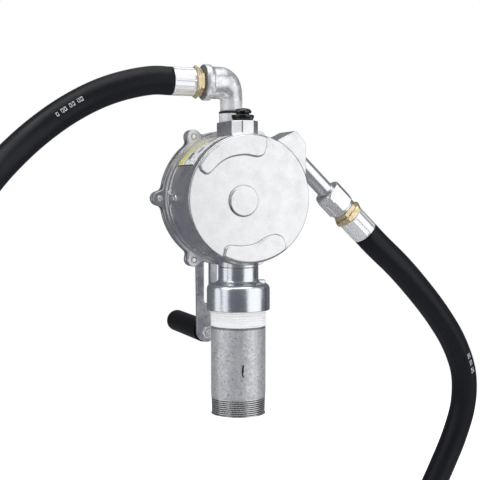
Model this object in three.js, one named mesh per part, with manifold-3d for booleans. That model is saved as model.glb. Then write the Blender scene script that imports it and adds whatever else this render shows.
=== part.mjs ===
// Hand-cranked rotary vane pump for drums: cast body with a bung pipe, discharge hose and parked nozzle.
// Millimetres, +Z up. The origin is the centre of the bung pipe's lower end, and the pump axis runs along Y.
import * as THREE from "three";
import { mergeVertices } from "three/addons/utils/BufferGeometryUtils.js";
import Module from "manifold-3d";

const wasm = await Module();
wasm.setup();

// ---- driving dimensions -------------------------------------------------------------------------

const GAP = 0.3; // clearance between touching pieces

// Pump head, about an axis along Y
const AXIS_Z = 237; // height of the pump axis
const HEAD_R = 69.6; // round body
const FACE_Y = -35; // front face of the body
const FLANGE_Y = 34; // front of the body's flange
const FLANGE_T = 6;
const FLANGE_R = 76;
const RIDGE_R = 72.4; // low ring at the root of the flange
const RIDGE_T = 3.2;
const EARS = 6;
const EAR_PITCH_R = 79.3; // bolt circle
const EAR_R = 7.9;
const EAR_FLARE = 12; // degrees either side of an ear where the flange starts to swell
const EAR_SWEEP = 75; // degrees of the ear's own arc either side of its tip
const TAB_ANGLES = [0, 60, 180, 240, 300]; // ears with a tab on the barrel; the label takes the sixth place
const TAB_LENGTH = 25;
const TAB_HALF = 4.6;
const TAB_ROOT = 12; // half the width where a tab meets the ridge
const TAB_RAISE = 1.8;
const PAD_RAISE = 2.5; // raised pads on the front face
const SHAFT_BOSS_R = 16.5; // round boss on the front face
const CHAMBER_R = 54;
const CHAMBER_Y = -27; // inner side of the front wall
const LABEL_FROM = 106; // degrees round the barrel
const LABEL_TO = 150;
const LABEL_FRONT = -24;
const LABEL_BACK = 29.6;
const LABEL_T = 0.4;
const GASKET_T = 0.6;
const COVER_T = 7;
const SCREW_R = 2.9;

// Rotor and shaft, eccentric in the chamber
const SHAFT_X = -8;
const SHAFT_DZ = -2.3;
const SHAFT_R = 8;
const BUSH_R = 11;
const ROTOR_R = 45.2;
const VANES = 4;
const VANE_T = 4.2;
const VANE_ROOT_R = 20.6;

// Crank
const ARM_Y = 78; // front side of the arm
const ARM_T = 6;
const ARM_W = 24;
const THROW = 155; // shaft to grip
const SQUARE = 12; // square end of the shaft
const STUD_R = 5; // threaded end of the shaft, behind the square
const CRANK_NUT_R = 9.5; // corners
const SLOT_R = 3.5; // adjusting slot along the arm
const SLOT_FROM = 42; // from the shaft
const SLOT_SHORT = 37; // it ends this far short of the grip
const GRIP_R = 13.3;
const GRIP_LENGTH = 107;
const GRIP_DOME = 5;
const GRIP_BOLT_R = 4;
const GRIP_NUT_R = 7.6; // corners
const GRIP_WASHER_R = 9;

// Inlet: collar, tape, bung pipe (2 inch pipe, 60.3 mm outside)
const PIPE_R = 30.15;
const PIPE_BORE_R = 26.25;
const PIPE_TOP = 131;
const THREAD_TOP = 20.7;
const THREAD_PITCH = 2.21; // 11.5 threads per inch
const THREAD_DEPTH = 1.1;
const TAPE_LOW = 97;
const COLLAR_LOW = 114.7;
const COLLAR_R = 34.8;
const NECK_R = 22.2;
const NECK_TOP = 161.7;
const INLET_R = 13; // bore up into the chamber
const VALVE_R = 16.5; // room round the check valve
const SEAT_R = 11.5; // bore below the check valve
const STRAINER_R = 29;

// Outlet on top: boss, spigot, elbow, hose fitting
const BOSS_TOP = 321;
const OUTLET_Y = 21;
const OUTLET_R = 9.5; // bore of the top boss
const SPIGOT_R = 13.7;
const SPIGOT_SHANK_R = 9.2;
const SPIGOT_BORE_R = 7.5;
const BREAKER_Y = -13;
const BREAKER_R = 5; // bore under the cap
const ELBOW_Z = 364.5;
const ELBOW_LEG_R = 12.4;
const ELBOW_ARM_R = 17.75;
const ELBOW_END = 34.6; // from the leg's axis to the end face
const BAND_R = 20;
const ARM_HEX = 4.8; // length of the hose fitting's hexagon
const ARM_FLANGE = 5;
const FERRULE_END = 70;
const HOSE_R = 15.5;
const FERRULE_R = 15.8;
const FERRULE_BORE_R = 9.4;
const SOCKET_R = 13.6; // in the elbow and in the nozzle's body, for a hose fitting's thread
const FITTING_THREAD_R = 13.2;
const FITTING_HEX_R = 15.6;
const FITTING_FLANGE_R = 18.4;
const TAIL_R = 9; // barbed tube inside the ferrule
const TAIL_BORE_R = 7;
const TAIL_SHORT = 6; // it ends this far inside the ferrule's end

// Nozzle, parked in the boot on the body: its axis runs down to the right
const NOZZLE_Y = -13;
const MOUTH_X = 66; // right face of the boot
const MOUTH_Z = 41.5; // above the pump axis
const NOZZLE_TILT = THREE.MathUtils.degToRad(133.5); // turns +Z to down and right
const SPOUT_R = 9.5;
const SPOUT_BORE_R = 7.6;
const SPOUT_SEATED = 9; // how far the spout reaches into the hexagonal body
const SPOUT_TIP = -17; // along the nozzle axis from the boot's mouth
const NOZZLE_BODY = 49; // start of the hexagonal body along that axis
const NOZZLE_HEX = 29; // its length
const NOZZLE_HEX_R = 17.6; // corners

// The hose's centre line, from the elbow's ferrule round the hanging loop to the nozzle's ferrule
const HOSE_ROUTE = [
  [-70.3, 21, 364.5],
  [-90, 21, 364.5],
  [-118, 22, 359.1],
  [-148, 23.5, 348.8],
  [-181, 24, 331.3],
  [-215, 22, 306.9],
  [-248, 11.5, 277.5],
  [-274, -4, 249.5],
  [-300, -20, 212],
  [-321, -34, 168],
  [-335, -44, 116],
  [-341, -49, 60],
  [-338, -51, -1],
  [-324, -50, -60],
  [-300, -46, -116],
  [-267, -41, -167],
  [-226, -34, -214],
  [-177, -26, -254],
  [-122, -17, -284],
  [-64, -7, -303],
  [-4, 3, -309],
  [54, 14, -305],
  [110, 24, -291],
  [162, 33, -266],
  [208, 40, -233],
  [244, 44, -193],
  [273, 46, -148],
  [296, 45, -104],
  [312.5, 41, -63],
  [320, 34.5, -23],
  [315, 27, 17],
  [294, 17, 57],
  [263.5, 6.5, 94],
  [229.5, -3, 128],
  [196, -10, 158.5],
  [165.8, -13, 183.8],
  [151.3, -13, 197.55],
];
const HOSE_SPLIT_X = 40; // where the two halves of the hose meet, at the bottom of the loop
const HOSE_SIDES = 12;
const REACH = 600; // further out than anything on the pump

// ---- materials ----------------------------------------------------------------------------------

const finish = (color, roughness, metalness) =>
  new THREE.MeshStandardMaterial({ color, roughness, metalness });

const CAST = () => finish(0xd9dbde, 0.38, 0.85);
const POLISHED = () => finish(0xc6ccd4, 0.16, 1);
const GALVANISED = () => finish(0xb9bcc0, 0.42, 0.9);
const ZINC = () => finish(0x9fa3aa, 0.35, 0.9);
const STEEL = () => finish(0x8f9399, 0.3, 1);
const BRASS = () => finish(0xd8bd82, 0.28, 1);
const BLACK_PLASTIC = () => finish(0x0c0c0e, 0.25, 0);
const BLACK_RUBBER = () => finish(0x1b1c20, 0.5, 0);
const GRAPHITE = () => finish(0x2f3033, 0.6, 0.2);
const PAPER_GREY = () => finish(0x55585c, 0.8, 0);
const TAPE_WHITE = () => finish(0xf4f4f2, 0.6, 0);
const LABEL_FILM = () => finish(0xe8e3c8, 0.45, 0);

// ---- helpers ------------------------------------------------------------------------------------

const polar = (r, degrees) => {
  const a = THREE.MathUtils.degToRad(degrees);
  return new THREE.Vector2(r * Math.cos(a), r * Math.sin(a));
};

/** A closed three.js geometry as a manifold-3d solid. */
function solid(geometry) {
  const bare = geometry.clone();
  bare.deleteAttribute("normal");
  bare.deleteAttribute("uv");
  const merged = mergeVertices(bare, 1e-4);
  const mesh = new wasm.Mesh({
    numProp: 3,
    vertProperties: merged.attributes.position.array,
    triVerts: new Uint32Array(merged.index.array),
  });
  return new wasm.Manifold(mesh);
}

function geometryOf(manifold) {
  const { numProp, numVert, vertProperties, triVerts } = manifold.getMesh();
  const positions = new Float32Array(numVert * 3);
  for (let i = 0; i < numVert; i++) {
    positions.set(vertProperties.subarray(i * numProp, i * numProp + 3), i * 3);
  }
  return new THREE.BufferGeometry()
    .setAttribute("position", new THREE.BufferAttribute(positions, 3))
    .setIndex(new THREE.BufferAttribute(triVerts, 1));
}

const join = (first, ...rest) => rest.reduce((sum, piece) => sum.add(piece), first);
const cut = (first, ...rest) => rest.reduce((sum, piece) => sum.subtract(piece), first);

/** A solid of revolution about Y from [radius, y] points: a closed loop, or a line from radius 0 back to 0. */
function latheY(profile, segments = 28) {
  const onAxis = profile[0][0] === 0 && profile.at(-1)[0] === 0;
  const loop = profile.map(([r, y]) => new THREE.Vector2(r, y));
  if (THREE.ShapeUtils.area(loop) < 0) loop.reverse();
  if (!onAxis) loop.push(loop[0].clone());
  return solid(new THREE.LatheGeometry(loop, segments));
}

/** The same about Z, from [radius, z] points. */
function latheZ(profile, segments = 28) {
  return latheY(profile, segments).rotate([90, 0, 0]);
}

/** A solid cylinder or cone between two stations, as a lathe profile. */
const rod = (low, high, radius, top = radius) => [[0, low], [radius, low], [top, high], [0, high]];

/** A pipe between two stations, as a lathe profile. */
const pipe = (low, high, inner, outer) => [[inner, low], [outer, low], [outer, high], [inner, high]];

/** A flat outline in X and Z, given thickness along Y. */
function plateY(shape, front, back, curveSegments = 8) {
  const geometry = new THREE.ExtrudeGeometry(shape, {
    depth: back - front,
    bevelEnabled: false,
    curveSegments,
  });
  return solid(geometry.rotateX(Math.PI / 2).translate(0, back, 0));
}

/** A flat outline in X and Y, given height along Z. */
function plateZ(shape, low, high, curveSegments = 8) {
  const geometry = new THREE.ExtrudeGeometry(shape, {
    depth: high - low,
    bevelEnabled: false,
    curveSegments,
  });
  return solid(geometry.translate(0, 0, low));
}

const block = (x0, x1, y0, y1, z0, z1) =>
  solid(
    new THREE.BoxGeometry(x1 - x0, y1 - y0, z1 - z0).translate(
      (x0 + x1) / 2,
      (y0 + y1) / 2,
      (z0 + z1) / 2,
    ),
  );

/** A hexagonal prism about Z with its corners chamfered at both ends. */
function hexZ(low, high, cornerR, chamfer = 1) {
  const flatR = cornerR * Math.cos(Math.PI / 6);
  const prism = latheZ(rod(low, high, cornerR), 6);
  const turned = latheZ(
    [
      [0, low],
      [flatR, low],
      [cornerR, low + chamfer],
      [cornerR, high - chamfer],
      [flatR, high],
      [0, high],
    ],
    18,
  );
  return prism.intersect(turned);
}

/** A body through elliptical rings: each has a centre, two half-axis vectors and closes with a flat cap. */
function loft(rings, sides) {
  const positions = [];
  const index = [];
  for (const { centre, a, b } of rings) {
    for (let i = 0; i < sides; i++) {
      const t = (2 * Math.PI * i) / sides;
      const point = centre.clone().addScaledVector(a, Math.cos(t)).addScaledVector(b, Math.sin(t));
      positions.push(point.x, point.y, point.z);
    }
  }
  for (let ring = 0; ring < rings.length - 1; ring++) {
    for (let i = 0; i < sides; i++) {
      const here = ring * sides + i;
      const next = ring * sides + ((i + 1) % sides);
      index.push(here, next, here + sides, next, next + sides, here + sides);
    }
  }
  const last = (rings.length - 1) * sides;
  for (let i = 1; i < sides - 1; i++) {
    index.push(0, i + 1, i, last, last + i, last + i + 1);
  }
  const geometry = new THREE.BufferGeometry();
  geometry.setAttribute("position", new THREE.Float32BufferAttribute(positions, 3));
  geometry.setIndex(index);
  return solid(geometry);
}

const pump = new THREE.Group();

function group(x, y, z, parent = pump) {
  const made = new THREE.Group();
  made.position.set(x, y, z);
  parent.add(made);
  return made;
}

function place(parent, name, material, manifold) {
  const mesh = new THREE.Mesh(geometryOf(manifold), material);
  mesh.name = name;
  parent.add(mesh);
  return mesh;
}

// ---- pump head ----------------------------------------------------------------------------------

const head = group(0, 0, AXIS_Z);
const earAngles = Array.from({ length: EARS }, (_, i) => (360 / EARS) * i);
const COVER_Y = FLANGE_Y + FLANGE_T + GASKET_T + 2 * GAP;
const COVER_BACK = COVER_Y + COVER_T;

const radians = THREE.MathUtils.degToRad;

/** The flange's outline: a circle that swells into a round ear at each screw. */
function flangeShape() {
  const shape = new THREE.Shape();
  earAngles.forEach((angle, i) => {
    const centre = polar(EAR_PITCH_R, angle);
    const earStart = polar(EAR_R, angle - EAR_SWEEP).add(centre);
    const start = polar(FLANGE_R, angle - EAR_FLARE);
    const end = polar(FLANGE_R, angle + EAR_FLARE);
    const before = polar(FLANGE_R + 0.6, angle - EAR_FLARE / 1.7);
    const after = polar(FLANGE_R + 0.6, angle + EAR_FLARE / 1.7);
    if (i === 0) shape.moveTo(start.x, start.y);
    shape.quadraticCurveTo(before.x, before.y, earStart.x, earStart.y);
    shape.absarc(
      centre.x,
      centre.y,
      EAR_R,
      radians(angle - EAR_SWEEP),
      radians(angle + EAR_SWEEP),
      false,
    );
    shape.quadraticCurveTo(after.x, after.y, end.x, end.y);
    const nextStart = angle + 360 / EARS - EAR_FLARE;
    shape.absarc(0, 0, FLANGE_R, radians(angle + EAR_FLARE), radians(nextStart), false);
  });
  return shape;
}

const screwHoles = earAngles.map((angle) => {
  const at = polar(EAR_PITCH_R, angle);
  return latheY(rod(FLANGE_Y - 1, COVER_BACK + 1, SCREW_R + 0.4), 10).translate([at.x, 0, at.y]);
});

/** A pad on the front face: its outer edge follows the rim, its inner edge a smooth line. */
function padShape(from, to, inner) {
  const rim = HEAD_R - 1.2;
  const start = polar(rim, from);
  const shape = new THREE.Shape();
  shape.moveTo(start.x, start.y);
  shape.absarc(0, 0, rim, radians(from), radians(to), false);
  shape.splineThru([...inner.map(([x, z]) => new THREE.Vector2(x, z)), start]);
  return shape;
}

const upperPad = padShape(74, 149, [
  [-56.5, 29.5],
  [-50.5, 26],
  [-45, 28.2],
  [-36.5, 36.4],
  [-24, 43.6],
  [-7, 46.6],
  [7.5, 44.8],
  [14.8, 47.6],
  [18.4, 56],
]);

const lowerPad = padShape(-117, -53, [
  [40.6, -47.5],
  [36.6, -41.2],
  [29, -38.6],
  [18.5, -41.2],
  [6, -47.8],
  [-8, -50.3],
  [-23.5, -49.4],
  [-29.2, -52],
]);

/** A low tab on the barrel in front of an ear, flared where it meets the ridge. */
function tab(angle) {
  const tip = TAB_LENGTH - TAB_HALF;
  const shape = new THREE.Shape();
  shape.moveTo(-TAB_ROOT, 0);
  shape.quadraticCurveTo(-TAB_HALF, 1, -TAB_HALF, 9);
  shape.lineTo(-TAB_HALF, tip);
  shape.absarc(0, tip, TAB_HALF, Math.PI, 0, true);
  shape.lineTo(TAB_HALF, 9);
  shape.quadraticCurveTo(TAB_HALF, 1, TAB_ROOT, 0);
  const outline = { depth: TAB_RAISE + 4, bevelEnabled: false, curveSegments: 5 };
  const made = new THREE.ExtrudeGeometry(shape, outline);
  made.rotateX(Math.PI).translate(0, FLANGE_Y - RIDGE_T + 1, HEAD_R + TAB_RAISE); // runs towards -Y
  return solid(made).rotate([0, 90 - angle, 0]);
}

function bossShape() {
  const half = 15.5;
  const chamfer = 9;
  const front = -28;
  const back = 35;
  const shape = new THREE.Shape();
  shape.moveTo(-half + chamfer, front);
  shape.lineTo(half - chamfer, front);
  shape.lineTo(half, front + chamfer);
  shape.lineTo(half, back - chamfer);
  shape.lineTo(half - chamfer, back);
  shape.lineTo(-half + chamfer, back);
  shape.lineTo(-half, back - chamfer);
  shape.lineTo(-half, front + chamfer);
  return shape;
}

function bootShape() {
  const shape = new THREE.Shape();
  shape.moveTo(26, 58);
  shape.lineTo(33.5, 63.5);
  shape.lineTo(54, 73.6);
  shape.lineTo(MOUTH_X, 60.2);
  shape.lineTo(MOUTH_X, 22);
  shape.lineTo(55, 20);
  return shape;
}

/** A rod along the nozzle's axis, measured from the boot's mouth, in the head's frame. */
function alongNozzle(low, high, radius) {
  return latheZ(rod(low, high, radius), 24)
    .rotate([0, THREE.MathUtils.radToDeg(NOZZLE_TILT), 0])
    .translate([MOUTH_X, NOZZLE_Y, MOUTH_Z]);
}

function pumpBody() {
  const barrel = latheY(
    [
      [0, FACE_Y],
      [HEAD_R - 0.8, FACE_Y],
      [HEAD_R, FACE_Y + 0.8],
      [HEAD_R, FLANGE_Y - RIDGE_T - 0.8],
      [RIDGE_R, FLANGE_Y - RIDGE_T],
      [RIDGE_R, FLANGE_Y + 2],
      [0, FLANGE_Y + 2],
    ],
    56,
  );
  const flange = plateY(flangeShape(), FLANGE_Y, FLANGE_Y + FLANGE_T, 3);
  const shaftBoss = latheY(rod(FACE_Y - PAD_RAISE, FACE_Y + 1, SHAFT_BOSS_R), 32).translate([
    SHAFT_X,
    0,
    SHAFT_DZ,
  ]);
  const pads = [upperPad, lowerPad].map((pad) =>
    plateY(pad, FACE_Y - PAD_RAISE, FACE_Y + 1, 3),
  );
  const boss = plateZ(bossShape(), 30, BOSS_TOP - AXIS_Z);
  const boot = plateY(bootShape(), FACE_Y + 0.8, FACE_Y + 44);
  const neck = latheZ(rod(NECK_TOP + GAP - AXIS_Z, -45, NECK_R), 32);
  const outside = join(barrel, flange, shaftBoss, ...pads, boss, boot, neck, ...TAB_ANGLES.map(tab));

  const chamber = latheY(rod(CHAMBER_Y, FLANGE_Y + FLANGE_T + 1, CHAMBER_R), 40);
  const bushPocket = latheY(rod(CHAMBER_Y - 6, CHAMBER_Y + 1, BUSH_R + GAP), 24).translate([
    SHAFT_X,
    0,
    SHAFT_DZ,
  ]);
  const inlet = latheZ(rod(NECK_TOP - AXIS_Z - 1, -45, INLET_R), 24);
  const outlet = latheZ(rod(40, BOSS_TOP - AXIS_Z + 1, OUTLET_R), 24).translate([0, OUTLET_Y, 0]);
  const breakerPort = latheZ(rod(40, BOSS_TOP - AXIS_Z + 1, BREAKER_R), 16).translate([0, BREAKER_Y, 0]);
  const pocket = alongNozzle(SPOUT_TIP - 3, 40, SPOUT_R + 0.8);
  return cut(outside, chamber, bushPocket, inlet, outlet, breakerPort, pocket, ...screwHoles);
}

place(head, "pump_body", CAST(), pumpBody());

place(
  head,
  "cover_gasket",
  PAPER_GREY(),
  cut(
    plateY(flangeShape(), FLANGE_Y + FLANGE_T + GAP, COVER_Y - GAP, 3),
    latheY(rod(FLANGE_Y, COVER_Y + 1, CHAMBER_R + 1), 40),
    ...screwHoles,
  ),
);

const GLAND_Y = COVER_BACK + 10; // back of the cover's hub
const SEAL_Y = COVER_BACK + 4;

function rearCover() {
  const plate = plateY(flangeShape(), COVER_Y, COVER_BACK, 3);
  const hub = latheY(
    [
      [0, COVER_BACK - 1],
      [27, COVER_BACK - 1],
      [25, COVER_BACK + 3],
      [18, COVER_BACK + 5],
      [17, GLAND_Y],
      [0, GLAND_Y],
    ],
    32,
  ).translate([SHAFT_X, 0, SHAFT_DZ]);
  const rib = latheY(
    [
      [62, COVER_BACK - 1],
      [62, COVER_BACK + 2.5],
      [66, COVER_BACK + 2.5],
      [67, COVER_BACK - 1],
    ],
    40,
  );
  const bore = latheY(rod(COVER_Y - 1, GLAND_Y + 1, BUSH_R + GAP), 24).translate([
    SHAFT_X,
    0,
    SHAFT_DZ,
  ]);
  return cut(join(plate, hub, rib), bore, ...screwHoles);
}

place(head, "rear_cover", CAST(), rearCover());

earAngles.forEach((angle, i) => {
  const at = polar(EAR_PITCH_R, angle);
  const tip = FLANGE_Y - 0.8;
  const shank = latheY(rod(tip, COVER_BACK + 1, SCREW_R), 12);
  const hexHead = latheY(rod(COVER_BACK + GAP, COVER_BACK + 5, 6), 6);
  const screw = join(shank, hexHead).translate([at.x, 0, at.y]);
  place(head, `cover_screw_${i + 1}`, ZINC(), screw);
});

const labelShape = new THREE.Shape();
const labelInner = HEAD_R + GAP;
const labelOuter = labelInner + LABEL_T;
labelShape.absarc(0, 0, labelOuter, radians(LABEL_FROM), radians(LABEL_TO), false);
labelShape.absarc(0, 0, labelInner, radians(LABEL_TO), radians(LABEL_FROM), true);
place(
  head,
  "instruction_label",
  LABEL_FILM(),
  plateY(labelShape, LABEL_FRONT, LABEL_BACK, 8),
);

// ---- rotor, vanes, shaft and its bearings --------------------------------------------------------

const shaftLine = group(SHAFT_X, 0, SHAFT_DZ, head);
const ROTOR_FRONT = CHAMBER_Y + 0.5;
const ROTOR_BACK = COVER_Y - 0.5;
const vaneAngles = Array.from({ length: VANES }, (_, i) => (360 / VANES) * i + 45);

/** A radial plate from one radius to another in the rotor, thickness across it. */
const radialPlate = (angle, inner, outer, thickness, front, back) =>
  block(inner, outer, front, back, -thickness / 2, thickness / 2).rotate([0, -angle, 0]);

place(
  shaftLine,
  "rotor",
  STEEL(),
  cut(
    latheY(pipe(ROTOR_FRONT, ROTOR_BACK, SHAFT_R + GAP, ROTOR_R), 36),
    ...vaneAngles.map((angle) =>
      radialPlate(angle, VANE_ROOT_R - 1, ROTOR_R + 1, VANE_T + 2 * GAP, ROTOR_FRONT - 1, ROTOR_BACK + 1),
    ),
  ),
);

vaneAngles.forEach((angle, i) => {
  const vane = radialPlate(angle, VANE_ROOT_R, ROTOR_R - 0.4, VANE_T, ROTOR_FRONT + 0.3, ROTOR_BACK - 0.3);
  place(shaftLine, `vane_${i + 1}`, GRAPHITE(), vane);
});

const SHAFT_FRONT = CHAMBER_Y - 5;
const SQUARE_START = ARM_Y - 1.2;
const SHAFT_END = ARM_Y + ARM_T + 9;
place(
  shaftLine,
  "drive_shaft",
  STEEL(),
  join(
    latheY(rod(SHAFT_FRONT, SQUARE_START, SHAFT_R), 24),
    block(
      -SQUARE / 2,
      SQUARE / 2,
      SQUARE_START - 1,
      ARM_Y + ARM_T - 0.3,
      -SQUARE / 2,
      SQUARE / 2,
    ),
    latheY(rod(ARM_Y, SHAFT_END, STUD_R), 16),
  ),
);

place(
  shaftLine,
  "front_bush",
  BRASS(),
  latheY(pipe(CHAMBER_Y - 5.7, CHAMBER_Y - 0.2, SHAFT_R + GAP, BUSH_R), 24),
);
place(
  shaftLine,
  "rear_bush",
  BRASS(),
  latheY(pipe(COVER_Y + 0.2, SEAL_Y - GAP, SHAFT_R + GAP, BUSH_R), 24),
);
place(
  shaftLine,
  "shaft_seal",
  BLACK_RUBBER(),
  latheY(pipe(SEAL_Y, GLAND_Y - GAP, SHAFT_R + GAP, BUSH_R), 24),
);
place(
  shaftLine,
  "gland_nut",
  BRASS(),
  cut(
    latheY(rod(GLAND_Y + GAP, GLAND_Y + 6.5, 15), 6),
    latheY(rod(GLAND_Y, GLAND_Y + 8, SHAFT_R + 0.5), 24),
  ),
);

// ---- crank and grip ------------------------------------------------------------------------------

/** A slot with round ends, as an outline in the arm's own frame. */
function slotPath(low, high, halfWidth) {
  const path = new THREE.Path();
  path.absarc(0, low, halfWidth, Math.PI, 2 * Math.PI, false);
  path.absarc(0, high, halfWidth, 0, Math.PI, false);
  path.closePath();
  return path;
}

function crankArm() {
  const outline = new THREE.Shape();
  outline.absarc(0, -THROW, ARM_W / 2, Math.PI, 2 * Math.PI, false);
  outline.absarc(0, 0, ARM_W / 2 + 2, 0, Math.PI, false);
  const square = SQUARE / 2 + GAP;
  const hub = new THREE.Path();
  hub.moveTo(-square, -square);
  hub.lineTo(-square, square);
  hub.lineTo(square, square);
  hub.lineTo(square, -square);
  const gripHole = new THREE.Path().absarc(0, -THROW, GRIP_BOLT_R + GAP, 0, 2 * Math.PI, true);
  outline.holes.push(hub, gripHole, slotPath(-THROW + SLOT_SHORT, -SLOT_FROM, SLOT_R));
  return plateY(outline, ARM_Y, ARM_Y + ARM_T, 8);
}

place(shaftLine, "crank_arm", ZINC(), crankArm());
place(
  shaftLine,
  "crank_nut",
  ZINC(),
  cut(
    latheY(rod(ARM_Y + ARM_T + GAP, ARM_Y + ARM_T + 7.5, CRANK_NUT_R), 6),
    latheY(rod(ARM_Y, SHAFT_END + 1, STUD_R + GAP), 16),
  ),
);

const gripLine = group(0, 0, -THROW, shaftLine);
const GRIP_START = ARM_Y + ARM_T + 4;
const GRIP_END = GRIP_START + GRIP_LENGTH;
place(
  gripLine,
  "grip_bolt",
  ZINC(),
  join(
    latheY(rod(ARM_Y - 9, GRIP_END - 14, GRIP_BOLT_R), 16),
    latheY(rod(ARM_Y + ARM_T + GAP, GRIP_START - GAP, GRIP_WASHER_R), 16),
  ),
);
place(
  gripLine,
  "grip_nut",
  ZINC(),
  cut(
    latheY(rod(ARM_Y - 7, ARM_Y - GAP, GRIP_NUT_R), 6),
    latheY(rod(ARM_Y - 10, ARM_Y + 1, GRIP_BOLT_R + GAP), 16),
  ),
);

const GRIP_BORE_END = GRIP_END - 12;
const gripDome = Array.from({ length: 6 }, (_, step) => {
  const t = (Math.PI / 12) * step;
  return [GRIP_R * Math.cos(t), GRIP_END - GRIP_DOME + GRIP_DOME * Math.sin(t)];
});
place(
  gripLine,
  "handle_grip",
  BLACK_PLASTIC(),
  cut(
    latheY(
      [
        [0, GRIP_START],
        [GRIP_R - 1, GRIP_START],
        [GRIP_R, GRIP_START + 1],
        ...gripDome,
        [0, GRIP_END],
      ],
      28,
    ),
    latheY(rod(GRIP_START - 1, GRIP_BORE_END, GRIP_BOLT_R + 0.4), 16),
  ),
);

// ---- inlet: collar, check valve, strainer, tape and bung pipe --------------------------------------

const SHOULDER = 144;
const VALVE_SEAT = 137;
const VALVE_ROOF = 149;

function collarProfile() {
  const round = 6.5;
  const fillet = 4.5;
  const outer = [[COLLAR_R, COLLAR_LOW + 0.8]];
  for (let step = 0; step <= 4; step++) {
    const t = (Math.PI / 2) * (step / 4);
    outer.push([
      COLLAR_R - round + round * Math.cos(t),
      SHOULDER - round + round * Math.sin(t),
    ]);
  }
  for (let step = 0; step <= 3; step++) {
    const t = (Math.PI / 2) * (step / 3);
    outer.push([
      NECK_R + fillet * (1 - Math.sin(t)),
      SHOULDER + 0.5 + fillet * (1 - Math.cos(t)),
    ]);
  }
  return [
    [PIPE_R + 0.6, COLLAR_LOW],
    [COLLAR_R - 0.8, COLLAR_LOW],
    ...outer,
    [NECK_R, NECK_TOP],
    [INLET_R, NECK_TOP],
    [INLET_R, VALVE_ROOF],
    [VALVE_R, VALVE_ROOF],
    [VALVE_R, VALVE_SEAT],
    [SEAT_R, VALVE_SEAT],
    [SEAT_R, VALVE_SEAT - 3],
    [PIPE_R + 0.6, VALVE_SEAT - 3],
  ];
}

const lug = block(21, 29, -8, -2, SHOULDER - 3, SHOULDER + 3.2);
place(pump, "inlet_collar", POLISHED(), join(latheZ(collarProfile(), 40), lug));

place(
  pump,
  "check_valve_disc",
  BLACK_RUBBER(),
  latheZ(rod(VALVE_SEAT + GAP, VALVE_SEAT + 2.3, 14), 24),
);

const STRAINER_LOW = PIPE_TOP + GAP;
const strainerHoles = Array.from({ length: 6 }, (_, i) => {
  const at = polar(15, 60 * i);
  return latheZ(rod(STRAINER_LOW - 1, STRAINER_LOW + 3, 5), 8).translate([at.x, at.y, 0]);
});
place(
  pump,
  "inlet_strainer",
  STEEL(),
  cut(latheZ(rod(STRAINER_LOW, STRAINER_LOW + 2, STRAINER_R), 28), ...strainerHoles),
);

/** The pipe's outline: tapered thread below, plain wall, and a relieved upper end inside tape and collar. */
function pipeProfile() {
  const profile = [[PIPE_BORE_R, 0]];
  const turns = Math.floor(THREAD_TOP / THREAD_PITCH);
  for (let turn = 0; turn < turns; turn++) {
    const low = turn * THREAD_PITCH;
    const crest = PIPE_R - 0.9 + low / 32;
    profile.push([crest - THREAD_DEPTH, low], [crest, low + THREAD_PITCH / 2]);
  }
  profile.push(
    [PIPE_R - 1.4, turns * THREAD_PITCH],
    [PIPE_R, turns * THREAD_PITCH + 1.2],
    [PIPE_R, TAPE_LOW - 1],
    [PIPE_R - 0.6, TAPE_LOW],
    [PIPE_R - 0.6, PIPE_TOP],
    [PIPE_BORE_R, PIPE_TOP],
  );
  return profile;
}

place(pump, "bung_pipe", GALVANISED(), latheZ(pipeProfile(), 36));
place(
  pump,
  "thread_tape",
  TAPE_WHITE(),
  latheZ(pipe(TAPE_LOW + GAP, COLLAR_LOW - GAP, PIPE_R - 0.3, PIPE_R + 0.4), 36),
);

// ---- outlet: vacuum breaker, spigot, elbow and hose fitting -----------------------------------------

const breaker = group(0, BREAKER_Y, BOSS_TOP);
place(
  breaker,
  "vacuum_breaker_cap",
  BLACK_PLASTIC(),
  latheZ(
    [
      [2.6, -20],
      [4.6, -20],
      [4.6, GAP],
      [9.5, GAP],
      [11.3, 1.4],
      [12.4, 5],
      [11.6, 6.4],
      [7, 7],
      [7, 7.8],
      [9.4, 8.6],
      [9.6, 10.4],
      [7.6, 12.6],
      [3.5, 13.6],
      [0, 13.8],
      [0, 3],
      [2.6, 3],
    ],
    22,
  ),
);
place(breaker, "vacuum_breaker_poppet", BRASS(), latheZ(rod(-17, -2, 2.2), 12));

const outlet = group(0, OUTLET_Y, 0);
const SPIGOT_TOP = BOSS_TOP + 10;
place(
  outlet,
  "outlet_spigot",
  POLISHED(),
  latheZ(
    [
      [SPIGOT_BORE_R, BOSS_TOP - 14],
      [SPIGOT_SHANK_R, BOSS_TOP - 14],
      [SPIGOT_SHANK_R, BOSS_TOP + GAP],
      [SPIGOT_R, BOSS_TOP + GAP],
      [SPIGOT_R, SPIGOT_TOP],
      [SPIGOT_BORE_R, SPIGOT_TOP],
    ],
    28,
  ),
);
const ELBOW_LOW = SPIGOT_TOP + 2.5;
place(
  outlet,
  "outlet_seal_ring",
  BLACK_RUBBER(),
  latheZ(pipe(SPIGOT_TOP + GAP, ELBOW_LOW - GAP, SPIGOT_BORE_R, SPIGOT_R + 0.2), 28),
);

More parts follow.
